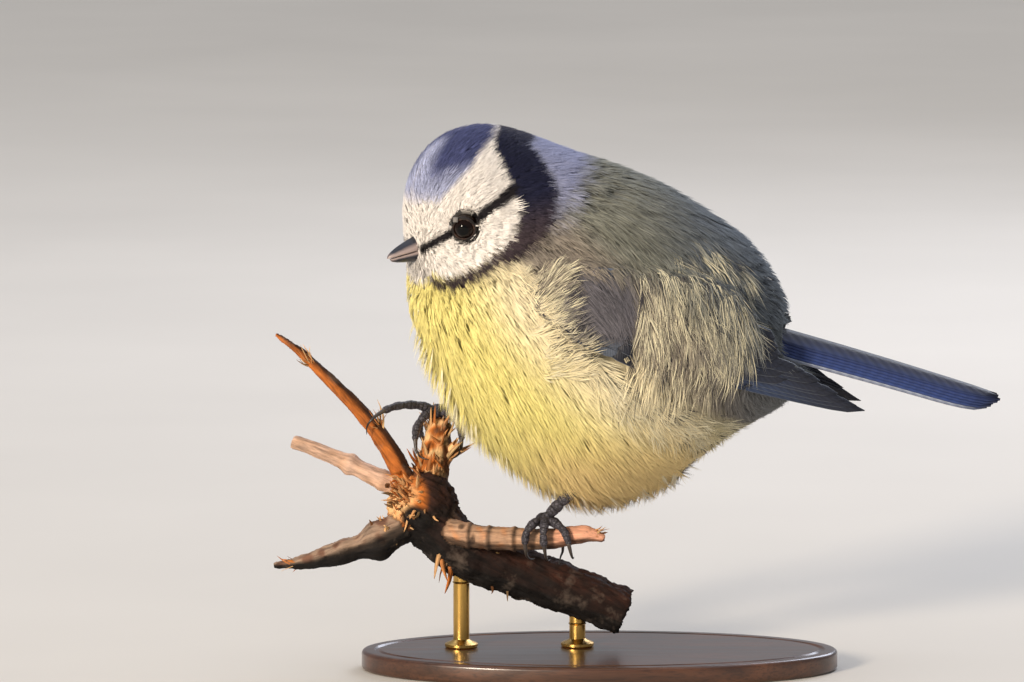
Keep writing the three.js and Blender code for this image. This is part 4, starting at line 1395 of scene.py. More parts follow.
class BLUETIT_OT_wings(Piece, bpy.types.Operator):
    """Lays the folded wings' feathers, tier over tier"""

    bl_idname = "blue_tit.wings"
    bl_label = "Wings"

    def build(self, scene):
        finish = vane_finish("wing_vane", 0.5, linear(from_hex("757C86")), 0.05)
        tones = {name: linear(from_hex(code)) for name, code in WING_TONES.items()}
        random = np.random.default_rng(21)
        wings = []
        for name, side in SIDES.items():
            vanes = Vanes(sum(tier["count"] for tier in WING_TIERS.values()))
            for tier_name, tier in WING_TIERS.items():
                for k in range(tier["count"]):
                    self.feather(vanes, tier, tier_name, k, side, random, tones)
            wings.append(settle(vanes.piece("wing_vanes_" + name), finish, "wing_feathers", "wing_" + name))
        made["outer"] = Drape([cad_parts[node] for node in FLESH], wings)

    def feather(self, vanes, tier, tier_name, k, side, random, tones):
        """One feather of a tier, laid over the one below it."""
        share = (k + 0.5) / tier["count"]
        (rx0, rz0), (rx1, rz1) = tier["root"]
        (tx0, tz0), (tx1, tz1) = tier["tip"]
        root = np.array((rx0 + (rx1 - rx0) * share, rz0 + (rz1 - rz0) * share))
        tip = np.array((tx0 + (tx1 - tx0) * share, tz0 + (tz1 - tz0) * share)) + random.normal(0, 0.12, 2)
        spine = tip - root
        normal = np.array((-spine[1], spine[0])) / np.hypot(*spine)
        gap = math.hypot(rx1 - rx0, rz1 - rz0) / tier["count"]
        tip_gap = math.hypot(tx1 - tx0, tz1 - tz0) / tier["count"]

        def face(along, across):
            half = WING_OVERLAP * (gap + (tip_gap - gap) * along) * feather_width(along, tier["round"])
            half = np.maximum(half * (1 - tier.get("narrowing", 0) * along), 0.04)
            sag = WING_SAG * np.sin(np.pi * along)
            x = root[0] + spine[0] * along + spine[1] * sag + normal[0] * across * half
            z = root[1] + spine[1] * along - spine[0] * sag + normal[1] * across * half
            step = 0.08 * k + FEATHER_STEP * (0.5 - across * 0.5)
            arch = WING_ARCH * (1 - across**2) + WING_SHAFT * np.exp(-((across / 0.06) ** 2))
            sunk = (tier["lift"] + 0.5) * ease(0.3, 0, along)
            y = wing_bed(x, z, side) + tier["lift"] * (1 - 0.45 * along) + step * 0.8 + arch - sunk
            top = np.stack((x, side * (y + VANE_THICKNESS * 0.5), z), -1)
            under = np.stack((x, side * (y - VANE_THICKNESS * 0.5), z), -1)
            return top, under

        def colour(along, across):
            outer = ease(0.1, -0.6, across)
            slate, covert = tones["slate"], tones["covert"]
            if tier_name in LONG_TIERS:
                tone = blend(slate, tones["blue"], outer * ease(0.95, 0.5, along) * 0.45)
            elif tier_name == "tertials":
                tone = blend(slate, covert, 0.35 * outer)
            elif tier_name == "greater_coverts":
                tone = blend(slate * 0.7, tones["white"], ease(0.8, 0.94, along))
            else:
                tone = blend(slate, covert, 0.45 + 0.4 * ease(0.3, 0.9, along))
            return tone * random.uniform(0.85, 1.15)

        vanes.add(face, rows=16 if tier_name in LONG_TIERS else 11, columns=9, colour=colour)


def tail_axis():
    """The way the tail points."""
    return np.array((math.cos(TAIL_SLOPE), 0, -math.sin(TAIL_SLOPE)))


class BLUETIT_OT_tail(Piece, bpy.types.Operator):
    """Lays the twelve tail feathers"""

    bl_idname = "blue_tit.tail"
    bl_label = "Tail"

    def build(self, scene):
        finish = vane_finish("tail_vane", 0.5, linear(from_hex("35426E")), 0.0)
        along_axis = tail_axis()
        rightward = np.array((0, 1, 0))
        side_axis = rightward * math.cos(-TAIL_ROLL) + np.cross(along_axis, rightward) * math.sin(-TAIL_ROLL)
        up_axis = np.cross(along_axis, side_axis)
        tones = {name: linear(from_hex(code)) for name, code in TAIL_TONES.items()}
        random = np.random.default_rng(22)
        vanes = Vanes(2 * TAIL_FEATHERS_A_SIDE)
        for side in SIDES.values():
            for k in range(TAIL_FEATHERS_A_SIDE):
                shorter = TAIL_STEP_BACK * k + random.uniform(0, 0.5) + (0.8 if k == 0 else 0)
                length = TAIL_LENGTH - shorter
                down = k * TAIL_STEP_DOWN + (TAIL_STEP_DOWN / 2 if side > 0 else 0)

                def face(along, across, length=length, down=down, side=side, k=k):
                    out = side * (0.9 + k * TAIL_STEP_OUT * (0.7 + 0.3 * along))
                    wide = out + across * TAIL_HALF_WIDTH * feather_width(along, 0.2)
                    wide = wide * (1.0 - TAIL_NARROWING * along)
                    arch = TAIL_ARCH * (1 - across**2) + TAIL_SHAFT * np.exp(-((across / 0.05) ** 2))
                    arch = arch + TAIL_RIDGE * (1.2 - np.sqrt(wide**2 + 1.4))
                    up = arch - down - TAIL_DROOP * along**2 + TAIL_UP
                    place = (TAIL_ROOT + along[..., None] * length * along_axis + wide[..., None] * side_axis
                             + up[..., None] * up_axis)
                    return place + up_axis * VANE_THICKNESS, place

                def colour(along, across, side=side, k=k):
                    outer_web = ease(-0.15, 0.2, across * side)
                    edge = outer_web * ease(0.3, 0.8, across * side) * (0.3 + 0.14 * k)
                    tone = blend(tones["dark"], tones["blue"], outer_web * (1 if k else 0.3))
                    tone = blend(tone, tones["bright"], edge)
                    if k == TAIL_FEATHERS_A_SIDE - 1:
                        tone = blend(tone, tones["pale"], ease(0.5, 0.75, across * side) * 0.85)
                    return blend(tone, tones["dark"], ease(0.86, 1.0, along) * 0.8)

                vanes.add(face, rows=22, columns=11, colour=colour)
        settle(vanes.piece("tail_vanes"), finish, "tail_feathers", "tail")


def smooth_line(points, count):
    """Places along a smooth curve through points."""
    points = np.array(points, float)
    padded = np.concatenate((2 * points[:1] - points[1:2], points, 2 * points[-1:] - points[-2:-1]))
    along = np.linspace(0, len(points) - 1, count)
    span = np.minimum(along.astype(int), len(points) - 2)
    t = (along - span)[:, None]
    a, b, c, d = (padded[span + k] for k in range(4))
    return 0.5 * (2 * b + (c - a) * t + (2 * a - 5 * b + 4 * c - d) * t**2 + (3 * b - a - 3 * c + d) * t**3)


def rings_to_shell(rings):
    """Places and triangles of a closed shell through rings of places, its ends capped."""
    rows, columns = rings.shape[:2]
    grid = np.arange(rows * columns).reshape(rows, columns)
    nearer, further = grid[:-1], grid[1:]
    corners = (nearer, np.roll(nearer, -1, 1), np.roll(further, -1, 1), further)
    walls = split(*(corner.ravel() for corner in corners))
    first, last = rows * columns, rows * columns + 1
    start, end = grid[0], grid[-1]
    caps = np.concatenate((np.stack((np.full(columns, first), np.roll(start, -1), start), -1),
                           np.stack((np.full(columns, last), end, np.roll(end, -1)), -1)))
    places = np.concatenate((rings.reshape(-1, 3), rings[:1].mean(1), rings[-1:].mean(1)))
    triangles = np.concatenate((walls, caps))
    return places, outward(places, triangles)


def tube(points, radius, sides, rings):
    """A closed tube along a smooth curve. Radius is a function of millimetres along and angle round."""
    middle = smooth_line(points, rings)
    steps = np.linalg.norm(np.diff(middle, axis=0), axis=1)
    far = np.concatenate(([0], np.cumsum(steps)))
    heading = unit(np.gradient(middle, axis=0))
    side = flat(np.array((0.0, 1.0, 0.2)), heading[0])
    angles = np.linspace(0, 2 * np.pi, sides, endpoint=False)
    made_rings = np.empty((rings, sides, 3))
    for k in range(rings):
        side = flat(side, heading[k])
        other = np.cross(heading[k], side)
        r = radius(far[k], far[-1], angles)[:, None]
        made_rings[k] = middle[k] + r * (np.cos(angles)[:, None] * side + np.sin(angles)[:, None] * other)
    return made_rings


def gather(shells):
    """Several shells as one: places, triangles and whatever else each carries for its places."""
    starts = np.cumsum([0] + [len(shell[0]) for shell in shells])
    triangles = np.concatenate([shell[1] + start for shell, start in zip(shells, starts)])
    rest = [np.concatenate([shell[k] for shell in shells]) for k in range(2, len(shells[0]))]
    return [np.concatenate([shell[0] for shell in shells]), triangles, *rest]


class BLUETIT_OT_eyes(Piece, bpy.types.Operator):
    """Sets the eyes and their bare rims"""

    bl_idname = "blue_tit.eyes"
    bl_label = "Eyes"

    def build(self, scene):
        colours = scene.bare_colours
        wet = eye_finish(colours)
        rim = horn_finish("eye_rim", linear(colours.lid) * 0.2, linear(colours.lid) * 1.7, 0.6)
        rims = []
        for name, side in SIDES.items():
            middle = eye_place(side)
            aim = eye_aim(side)
            bpy.ops.object.select_all(action="DESELECT")
            bpy.ops.mesh.primitive_uv_sphere_add(
                segments=48, ring_count=32, radius=EYE_R * MM, location=middle * MM
            )
            eye = bpy.context.object
            eye.name = "eye_ball_" + name
            eye.rotation_mode = "QUATERNION"
            eye.rotation_quaternion = Vector(aim).to_track_quat("Z", "Y")
            bpy.ops.object.transform_apply(location=True, rotation=True, scale=True)
            offset = vertex_array(eye.data) - middle * MM
            outwards = unit(offset) @ aim
            bulge = 1 + CORNEA_RISE * ease(0.72, 0.98, outwards)
            eye.data.vertices.foreach_set("co", (middle * MM + offset * bulge[:, None]).ravel())
            bpy.ops.object.shade_smooth()
            paint(eye.data, "tint", grey(ease(0.93, 0.86, outwards)))
            settle(eye, wet, "eye", "eye_" + name)
            opening = math.sqrt(EYE_R**2 - EYE_SINK**2)
            inner = middle + aim * (EYE_SINK + 0.16)
            outer = middle + aim * (EYE_SINK + 0.02)
            rims.append(self.rim(inner, aim, opening - 0.04, LID_R, beading=0.16, light=0.4))
            rims.append(self.rim(outer, aim, opening + 0.16, LID_OUTER_R, beading=0.05, light=0.0))
        places, triangles, tint = gather(rims)
        settle(mesh_piece("eye_rims", places, triangles, tint), rim, "head_feathers")

    def rim(self, middle, aim, radius, thick, beading, light):
        """A beaded ring of bare skin round the eye."""
        first = flat(UPWARD, aim)
        second = np.cross(aim, first)
        turns = np.linspace(0, 2 * np.pi, RIM_STEPS, endpoint=False)
        round_it = np.linspace(0, 2 * np.pi, RIM_SIDES, endpoint=False)[:, None]
        rings = []
        for turn in turns:
            out = first * math.cos(turn) + second * math.sin(turn) * 1.04
            bead = thick * (1 + beading * math.sin(turn * 18))
            centre = middle + out * radius
            rings.append(centre + bead * (np.cos(round_it) * out + np.sin(round_it) * aim * 1.1))
        grid = np.arange(RIM_STEPS * RIM_SIDES).reshape(RIM_STEPS, RIM_SIDES)
        following = np.roll(grid, -1, 0)
        corners = (grid, np.roll(grid, -1, 1), np.roll(following, -1, 1), following)
        triangles = split(*(corner.ravel() for corner in corners))
        places = np.array(rings).reshape(-1, 3)
        paleness = np.repeat(light * (1 + np.sin(turns * 5) * np.sin(turns * 2 + 1)), RIM_SIDES)
        return places, outward(places, triangles), np.clip(grey(paleness), 0, 1)


class BLUETIT_OT_bill(Piece, bpy.types.Operator):
    """Shapes the two halves of the bill"""

    bl_idname = "blue_tit.bill"
    bl_label = "Bill"

    def build(self, scene):
        colours = scene.bare_colours
        finish = horn_finish("bill_horn", linear(colours.bill), linear(colours.bill_edge), 0.34)
        halves = (("upper", 1, BILL_TIP, UPPER_DEPTH), ("lower", -1, LOWER_TIP, LOWER_DEPTH))
        for name, sign, tip, depth in halves:
            places, triangles, tint = self.half(sign, tip, depth)
            settle(mesh_piece("bill_half_" + name, places, triangles, tint), finish, "bill", "bill_" + name)

    def half(self, sign, tip, depth):
        """Rings from inside the face to the tip, with a keel along the top and a pale cutting edge."""
        rings, light = [], []
        for t in np.linspace(0, 1, BILL_ROWS):
            forward = BILL_BASE + (tip - BILL_BASE) * t
            taper = math.sqrt(max(0.0, 1 - t**1.7)) * (1 - 0.25 * t) + 0.035
            middle = MOUTH_UP - BILL_DROOP * t * t
            angle = np.linspace(0, np.pi, BILL_SIDES)
            keel = 0.1 * depth * taper * np.exp(-(((angle - np.pi / 2) / 0.28) ** 2))
            rise = depth * taper * np.sin(angle) ** 0.8 + 0.13 + keel
            across = BILL_HALF_WIDTH * taper * np.cos(angle)
            if sign > 0:
                far = ((forward - NOSTRIL_FORWARD) / 0.55) ** 2
                hollow = np.exp(-far - (((angle - NOSTRIL_ANGLE) / 0.2) ** 2))
                hollow += np.exp(-far - (((angle - np.pi + NOSTRIL_ANGLE) / 0.2) ** 2))
                across = across * (1 - 0.16 * hollow)
            rings.append(HEAD_AT + forward * FORWARD + across[:, None] * LEFTWARD
                         + (middle + sign * rise)[:, None] * UPWARD)
            edge = np.exp(-((np.sin(angle) / 0.22) ** 2)) * 0.9 + 0.5 * ease(0.82, 1.0, t)
            side = np.exp(-((np.sin(angle) / 0.62) ** 4))
            edge = edge + (0.75 * side * ease(0.12, 0.35, t) if sign > 0 else 0)
            light.append(np.clip(edge, 0, 1))
        places, triangles = rings_to_shell(np.array(rings))
        return places, triangles, grey(np.append(np.array(light).ravel(), (0, 0.6)))


class BLUETIT_OT_legs(Piece, bpy.types.Operator):
    """Shapes the scaly legs and toes, and the claws"""

    bl_idname = "blue_tit.legs"
    bl_label = "Legs and claws"

    def build(self, scene):
        colours = scene.bare_colours
        scales = scale_finish(colours)
        horn = horn_finish("claw_horn", linear(colours.claw), linear(from_hex("6A5F58")), 0.3)
        for name, foot in FEET.items():
            pad, hock = np.array(foot["pad"]), np.array(foot["hock"])
            inside = hock + (hock - pad) * 0.12
            shin = (pad, pad * 0.5 + hock * 0.5, inside)
            leg = self.scaled(shin, TARSUS_R, TARSUS_R * 1.25, spacing=1.5, sides=18, rings=110)
            settle(mesh_piece("leg_scales_" + name, *leg), scales, "leg_skin", "leg_" + name)
            toes, nails = [self.ankle(pad)], []
            for toe_name in TOES:
                toe, claw = foot[toe_name]
                toes.append(self.scaled((pad, *toe), *TOE_R, spacing=0.95, sides=16, rings=90))
                before, end = np.array(toe[-2:])
                nails.append(self.claw((end - unit(end - before) * CLAW_INTO_TOE, *claw)))
            settle(mesh_piece("foot_scales_" + name, *gather(toes)), scales, "leg_skin", "foot_" + name)
            nodes = ["claw_" + name + "_" + toe_name for toe_name in TOES]
            settle(mesh_piece("claws_" + name, *gather(nails)), horn, "claw", *nodes)

    def scaled(self, points, start, end, spacing, sides, rings):
        """A limb with overlapping rings of scales all round it."""
        shares = []

        def radius(far, total, angles):
            saw = (far / spacing) % 1.0
            plate = SCALE_RISE * (1 - saw) ** 0.6
            groove = math.exp(-((min(saw, 1 - saw) / 0.09) ** 2))
            joint = JOINT_RISE * math.cos(far * 2 * math.pi / JOINT_SPACING)
            base = start + (end - start) * far / total
            past = max(0.0, (far / total - 0.9) / 0.1)
            tip = math.sqrt(max(0.03, 1 - past**2)) if end < start else 1.0
            shares.append(np.full(sides, 1 - 0.85 * groove))
            return base * tip * (1 + plate + joint - 0.16 * groove + 0.05 * np.cos(3 * angles))

        places, triangles = rings_to_shell(tube(points, radius, sides, rings))
        return places, triangles, grey(np.append(np.array(shares).ravel(), (1, 1)))

    def ankle(self, pad):
        """The rounded middle of the foot, with pebbled skin."""
        rows, columns = 20, 24
        polar = np.linspace(0.06, np.pi - 0.06, rows)[:, None]
        round_it = np.linspace(0, 2 * np.pi, columns, endpoint=False)
        pebble = 1 + 0.05 * np.sin(polar * 14) * np.sin(round_it * 9)
        r = ANKLE_R * pebble
        x = r * np.sin(polar) * np.cos(round_it)
        y = r * np.sin(polar) * np.sin(round_it)
        z = r * 0.9 * np.cos(polar)
        places, triangles = rings_to_shell(pad + np.stack((x, y, z), -1))
        return places, triangles, np.full((len(places), 3), 0.8)

    def claw(self, points):
        """A curved claw, pale at its root."""

        def radius(far, total, angles):
            share = far / total
            r = CLAW_R[0] + (CLAW_R[1] - CLAW_R[0]) * share**0.8
            return r * (1 + 0.12 * np.cos(2 * angles) * (1 - share))

        sides, rings = 14, 26
        places, triangles = rings_to_shell(tube(points, radius, sides, rings))
        light = np.repeat(np.linspace(0.5, 0.0, rings), sides)
        return places, triangles, grey(np.append(light, (0.5, 0)))


class BLUETIT_OT_perch(Piece, bpy.types.Operator):
    """Turns the perch's branches into cracked bark and split wood"""

    bl_idname = "blue_tit.perch"
    bl_label = "Perch"

    def build(self, scene):
        colours = scene.perch_colours
        bark = remeshed_copy("perch_bark", PERCH_NODES, BARK_CELL, rounds=2)
        places = vertex_array(bark.data) / MM
        normals = vertex_array(bark.data, "normal")
        owner, axes = self.branches(places)
        grain = self.grain(places, owner, axes)
        moved = self.roughen(places, normals, owner, axes, grain)
        bark.data.vertices.foreach_set("co", (moved * MM).astype(np.float32).ravel())
        bark.data.update()
        paint(bark.data, "tint", self.tones(places, normals, owner, axes, colours))
        add_grain(bark.data, grain)
        settle(bark, bark_finish("bark", 0.85, 0.3), "bark", *PERCH_NODES)
        corners = triangle_corners(bark.data)
        self.splinters(colours, BVHTree.FromPolygons(moved.tolist(), corners.tolist()))

    def branches(self, places):
        """The branch that each place belongs to, and each branch's middle, axis and length."""
        trees, axes = [], []
        for node in PERCH_NODES:
            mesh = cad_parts[node].data
            points = vertex_array(mesh) / MM
            trees.append(BVHTree.FromPolygons(points.tolist(), triangle_corners(mesh).tolist()))
            middle = points.mean(0)
            axis = np.linalg.svd(points - middle, full_matrices=False)[2][0]
            axis = axis if (middle - KNOT_AT) @ axis > 0 else -axis
            axes.append((middle, axis, ((points - KNOT_AT) @ axis).max()))
        near = np.array([[tree.find_nearest(Vector(place))[3] for tree in trees] for place in places])
        return near.argmin(1), axes

    def grain(self, places, owner, axes):
        """Coordinates drawn out along each branch, so that noise on them runs along the wood."""
        drawn = np.empty_like(places)
        for k, (_, axis, _) in enumerate(axes):
            here = owner == k
            along = (places[here] @ axis)[:, None] * axis
            drawn[here] = (places[here] - along) * 1.5 + along * 0.22
        return drawn

    def roughen(self, places, normals, owner, axes, grain):
        """Cracks, ridges and knobs pushed into the bark."""
        moved = places.copy()
        depth = np.array(BARK_RELIEF)[owner]
        for i, (place, normal) in enumerate(zip(places, normals)):
            ridges = noise.fractal(Vector(grain[i] * 1.1), 0.7, 2.1, 4)
            lumps = noise.noise(Vector(place * 0.35))
            push = depth[i] * (ridges * 0.8 + lumps * 0.7)
            far = (place - KNOT_AT) @ axes[owner[i]][1]
            knobs = KNOBS.get(owner[i], ())
            push += sum(height * math.exp(-(((far - at) / width) ** 2)) for at, height, width in knobs)
            moved[i] = place + normal * push
        return moved

    def tones(self, places, normals, owner, axes, colours):
        """The colour of each place: dark bark, weathered snag, pale twig and orange splits, with painted shade
        on undersides, in the knot's hollow, in the sliver's groove and on the stub's +X side.
        """
        tone = {name: linear(getattr(colours, name)) for name in PerchColours.__annotations__}
        # Painted shade: the main branch darkens towards the dark colour on faces that turn downwards.
        facing_up = ease(-0.4, 0.5, normals[:, 2])
        mottled = np.array([0.5 + 0.5 * noise.noise(Vector(place * 0.5)) for place in places])
        red = linear(from_hex("5B2E1C"))
        main = blend(blend(tone["dark_bark"], red, mottled * 0.4), tone["char"], 1 - facing_up)
        broken = np.linalg.norm((places - BROKEN_FACE) * (1, 0.7, 1), axis=1)
        main = blend(main, tone["raw_wood"], ease(7.2, 5.2, broken))
        main = blend(main, tone["pale_wood"], ease(6.2, 3.2, broken + mottled * 1.5))
        # Painted shade inside the knot's hollow.
        hollow = np.linalg.norm(places - KNOT_HOLLOW, axis=1)
        main = blend(main, tone["char"], ease(3.4, 2.2, hollow))
        twig = blend(tone["pale_bark"], tone["grey_bark"], mottled * 0.5)
        far = (places - KNOT_AT) @ axes[TWIG][1]
        rings = sum(np.exp(-(((far - ring - 0.5) / 0.4) ** 2)) for ring in TWIG_RINGS)
        twig = blend(twig, linear(from_hex("D98F58")), ease(0.5, 0.75, mottled) * 0.7)
        twig = blend(twig, tone["dark_bark"], ease(0.36, 0.24, mottled) * 0.8)
        twig = blend(twig, tone["char"], np.clip(rings, 0, 1) * 0.85)
        twig = blend(twig, linear(from_hex("E8A888")), ease(24, 27, far))
        # Painted shade: the twig darkens towards dark bark on its underside.
        twig = blend(twig, tone["dark_bark"], ease(-0.1, -0.6, normals[:, 2]) * 0.8)
        stub = blend(tone["raw_wood"], tone["pale_wood"], ease(0.35, 0.75, mottled))
        stub = blend(stub, tone["char"], ease(0.45, 0.2, mottled) * 0.7)
        # Painted shade: the stub darkens towards dark bark on its side facing +X, away from the key light.
        stub = blend(stub, tone["dark_bark"], ease(0.1, 0.7, normals[:, 0]) * 0.8)
        sliver = blend(tone["raw_wood"], red, mottled * 0.6)
        # Painted shade of a groove: the sliver's faces turned up and towards +X are darkened.
        groove = ease(0.25, 0.75, normals @ unit(np.array((0.7, -0.15, 0.7))))
        sliver = blend(sliver, tone["char"], groove * 0.9)
        snag = blend(tone["grey_bark"], tone["pale_bark"], mottled * 0.4)
        snag = blend(snag, red, ease(0.55, 0.75, mottled) * 0.7)
        # Painted shade: the snag is dark on its underside and keeps its bark colours on top.
        snag = blend(tone["char"], snag, ease(-0.1, 0.5, normals[:, 2]))
        spur = blend(tone["pale_bark"], linear(from_hex("D9B7A2")), mottled)
        return np.choose(owner[:, None], (main, twig, stub, sliver, snag, spur))

    def splinters(self, colours, bark):
        """Torn fibres round the broken stub, knot, sliver, twig and snag."""
        random = np.random.default_rng(31)
        finish = bark_finish("split_wood", 0.7, 0.12)
        raw, pale, char = (linear(getattr(colours, name)) for name in ("raw_wood", "pale_wood", "char"))
        # Each set: its middle, the way it points, how far it spreads, how many, how long and how thick.
        sets = (
            ((-29.2, 6.0, 42.6), (0.06, 0.28, 1.0), 2.0, 46, 4.2, 0.5),
            ((-30.4, 3.6, 36.0), (-0.25, -0.5, 1.0), 2.8, 34, 4.4, 0.5),
            ((-36.6, -2.6, 32.4), (-0.5, -0.8, 0.4), 3.0, 60, 3.4, 0.62),
            ((-26.4, 4.2, 38.6), (0.45, -0.3, 0.85), 1.2, 16, 5.2, 0.8),
            ((-34.4, -2.4, 29.0), (0.1, -0.9, -0.3), 2.8, 22, 3.0, 0.4),
            ((-38.8, 0.6, 43.8), (-0.55, -0.1, 0.9), 1.0, 12, 5.5, 0.28),
            ((-52.0, 0.8, 55.6), (-0.8, 0.0, 0.75), 0.6, 14, 4.4, 0.22),
            ((-0.6, -10.0, 25.8), (1.0, -0.2, 0.1), 0.9, 16, 2.4, 0.32),
            ((-28.0, -1.0, 20.4), (-0.2, -0.4, -1.0), 2.0, 5, 5.0, 0.85),
            ((-20.0, -0.6, 15.2), (0.1, -0.2, -1.0), 4.0, 4, 2.8, 0.7),
            ((-55.4, 0.2, 19.0), (-1.0, 0.0, 0.0), 0.8, 12, 3.0, 0.3),
            ((-39.4, -0.4, 24.6), (-0.2, -0.3, 1.0), 2.0, 8, 1.6, 0.5),
        )
        shards = []
        for middle, heading, around, count, length, thick in sets:
            for _ in range(count):
                lean = unit(np.array(heading) + random.normal(0, 0.3, 3))
                aimed = Vector(np.array(middle) + random.normal(0, 0.55, 3) * around)
                near, facing = (np.array(found) for found in bark.find_nearest(aimed)[:2])
                lean = unit(lean + 0.35 * facing)
                root = near - facing * 0.3 - lean * length * 0.15
                bow = random.normal(0, 0.05, 3) * length
                reach = length * random.uniform(0.45, 1.15)
                points = (root, root + lean * reach * 0.5 + bow, root + lean * reach)
                wide = thick * random.uniform(0.5, 1.2)
                angle = random.uniform(0, np.pi)

                def radius(far, total, angles, wide=wide, angle=angle):
                    share = far / total
                    return wide * (1.02 - share) ** 0.6 * (0.3 + 0.7 * np.abs(np.cos(angles - angle)))

                places, triangles = rings_to_shell(tube(points, radius, 5, 6))
                mix = random.random()
                tone = raw * (1 - mix) + pale * mix
                tone = tone * (0.25 if random.random() < 0.18 else random.uniform(0.6, 1.1)) + char * 0.1
                along = (places @ lean)[:, None] * lean
                shards.append((places, triangles, np.tile(tone, (len(places), 1)),
                               (places - along) * 3 + along * 0.3 + random.uniform(0, 50)))
        places, triangles, tint, grain = gather(shards)
        settle(mesh_piece("perch_splinters", places, triangles, tint, grain=grain), finish, "bark")


class BLUETIT_OT_stand(Piece, bpy.types.Operator):
    """Turns the oval base and the two brass rods"""

    bl_idname = "blue_tit.stand"
    bl_label = "Stand"

    def build(self, scene):
        colours = scene.perch_colours
        wood, brass = stand_finish(colours), brass_finish(colours)
        lo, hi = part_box("stand_base")
        height = hi.z - lo.z
        bpy.ops.object.select_all(action="DESELECT")
        bpy.ops.mesh.primitive_cylinder_add(
            vertices=128, radius=1.0, depth=height, location=(0, 0, lo.z + height / 2)
        )
        base = bpy.context.object
        base.name = "stand_plinth"
        base.scale = ((hi.x - lo.x) / 2, (hi.y - lo.y) / 2, 1)
        bpy.ops.object.transform_apply(location=True, rotation=True, scale=True)
        bpy.ops.object.mode_set(mode="EDIT")
        bpy.ops.mesh.select_mode(type="FACE")
        bpy.ops.mesh.select_all(action="DESELECT")
        bpy.ops.object.mode_set(mode="OBJECT")
        for face in base.data.polygons:
            face.select = face.normal.z > 0.9
        bpy.ops.object.mode_set(mode="EDIT")
        for width, depth in BASE_GROOVE:
            bpy.ops.mesh.inset(thickness=width * MM, depth=depth * MM)
        bpy.ops.object.mode_set(mode="OBJECT")
        apply_modifier(
            base, "BEVEL", width=BASE_ROUNDING * MM, segments=4, limit_method="ANGLE",
            angle_limit=math.radians(50),
        )
        bpy.ops.object.shade_smooth_by_angle(angle=math.radians(35))
        settle(base, wood, "stand_wood", "stand_base")
        for name in ("stand_rod_front", "stand_rod_rear"):
            self.rod(name, hi.z / MM, brass)

    def rod(self, name, floor, brass):
        """A turned rod with a collar at its foot and a cup under the branch."""
        lo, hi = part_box(name)
        middle = (lo + hi) / 2 / MM
        r = (hi.x - lo.x) / 2 / MM
        top = hi.z / MM + ROD_INTO_BARK
        profile = [(floor + z, wide) for z, wide in ROD_FOOT] + [(top + z, wide) for z, wide in ROD_CUP]
        angles = np.linspace(0, 2 * np.pi, ROD_SIDES, endpoint=False)
        rings = []
        for z, wide in profile:
            x = middle.x + r * wide * np.cos(angles)
            y = middle.y + r * wide * np.sin(angles)
            rings.append(np.stack((x, y, np.full(ROD_SIDES, z)), -1))
        rod = mesh_piece(name.replace("stand_", "brass_"), *rings_to_shell(np.array(rings)))
        only(rod)
        bpy.ops.object.shade_smooth_by_angle(angle=math.radians(40))
        settle(rod, brass, "stand_rod", name)


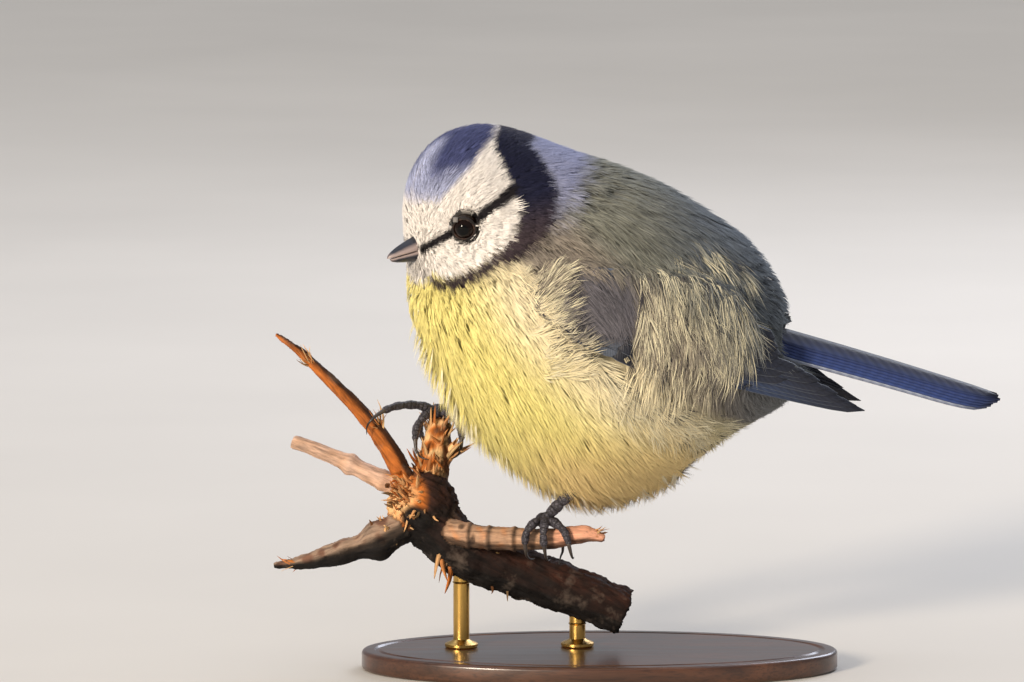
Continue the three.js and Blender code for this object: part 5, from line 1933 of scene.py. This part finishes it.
class BLUETIT_OT_stage(Piece, bpy.types.Operator):
    """Sets the floor, the soft lights and the camera"""

    bl_idname = "blue_tit.stage"
    bl_label = "Stage"

    def build(self, scene):
        stage = scene.stage_settings
        bpy.ops.object.select_all(action="DESELECT")
        bpy.ops.mesh.primitive_plane_add(size=FLOOR_WIDTH, location=(0, 0, 0))
        floor = bpy.context.object
        floor.name = "floor"
        paper = Finish("floor_paper", Roughness=0.75, Specular_IOR_Level=0.2)
        tone = linear(stage.floor)
        colour = paper.ramp(paper.noise(6, detail=3), (0.3, tone * 0.96), (0.7, tone * 1.03))
        floor.data.materials.append(paper.finish(colour))
        for name, (place, wide, tone) in LIGHTS.items():
            light = bpy.data.lights.new(name, "AREA")
            light.energy = getattr(stage, name)
            light.size = wide
            light.color = linear(from_hex(tone))
            lamp = bpy.data.objects.new(name, light)
            lamp.location = place
            lamp.rotation_euler = (Vector(AIM) * MM - Vector(place)).to_track_quat("-Z", "Y").to_euler()
            scene.collection.objects.link(lamp)
        world = bpy.data.worlds.new("surround")
        world.use_nodes = True
        surround = world.node_tree.nodes["Background"].inputs
        surround["Color"].default_value = (*linear(from_hex("E9ECF2")), 1)
        surround["Strength"].default_value = stage.sky
        scene.world = world
        scene.view_settings.view_transform = "Standard"
        data = bpy.data.cameras.new("camera")
        data.sensor_width = SENSOR
        data.lens = SENSOR * stage.distance / (FRAME_WIDTH * MM)
        data.clip_end = SEE_TO
        camera = bpy.data.objects.new("camera", data)
        back = Vector((0, -math.cos(VIEW_DOWN), math.sin(VIEW_DOWN)))
        camera.location = Vector(AIM) * MM + back * stage.distance
        camera.rotation_euler = (math.pi / 2 - VIEW_DOWN, 0, 0)
        scene.collection.objects.link(camera)
        scene.camera = camera


PIECES = (
    BLUETIT_OT_skin,
    BLUETIT_OT_wings,
    BLUETIT_OT_head_feathers,
    BLUETIT_OT_body_feathers,
    BLUETIT_OT_loose_feathers,
    BLUETIT_OT_tail,
    BLUETIT_OT_eyes,
    BLUETIT_OT_bill,
    BLUETIT_OT_legs,
    BLUETIT_OT_perch,
    BLUETIT_OT_stand,
    BLUETIT_OT_stage,
)


class BLUETIT_PT_sidebar(bpy.types.Panel):
    """Lists the pieces of the model"""

    bl_label = "Blue tit"
    bl_space_type = "VIEW_3D"
    bl_region_type = "UI"
    bl_category = "Blue tit"

    def draw(self, context):
        for piece in PIECES:
            self.layout.operator(piece.bl_idname)


SETTINGS = {
    "plumage_colours": PlumageColours,
    "coat_sizes": CoatSizes,
    "bare_colours": BareColours,
    "perch_colours": PerchColours,
    "stage_settings": StageSettings,
}


def register():
    """Adds the settings, operators and panel."""
    for name, group in SETTINGS.items():
        bpy.utils.register_class(group)
        setattr(bpy.types.Scene, name, bpy.props.PointerProperty(type=group))
    for kind in (*PIECES, BLUETIT_PT_sidebar):
        bpy.utils.register_class(kind)


def unregister():
    """Takes the settings, operators and panel away."""
    for kind in (BLUETIT_PT_sidebar, *reversed(PIECES)):
        bpy.utils.unregister_class(kind)
    for name, group in SETTINGS.items():
        delattr(bpy.types.Scene, name)
        bpy.utils.unregister_class(group)


def main():
    """Builds every piece in order."""
    register()
    for piece in PIECES:
        group, name = piece.bl_idname.split(".")
        getattr(getattr(bpy.ops, group), name)()
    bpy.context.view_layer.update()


if __name__ == "__main__":
    main()
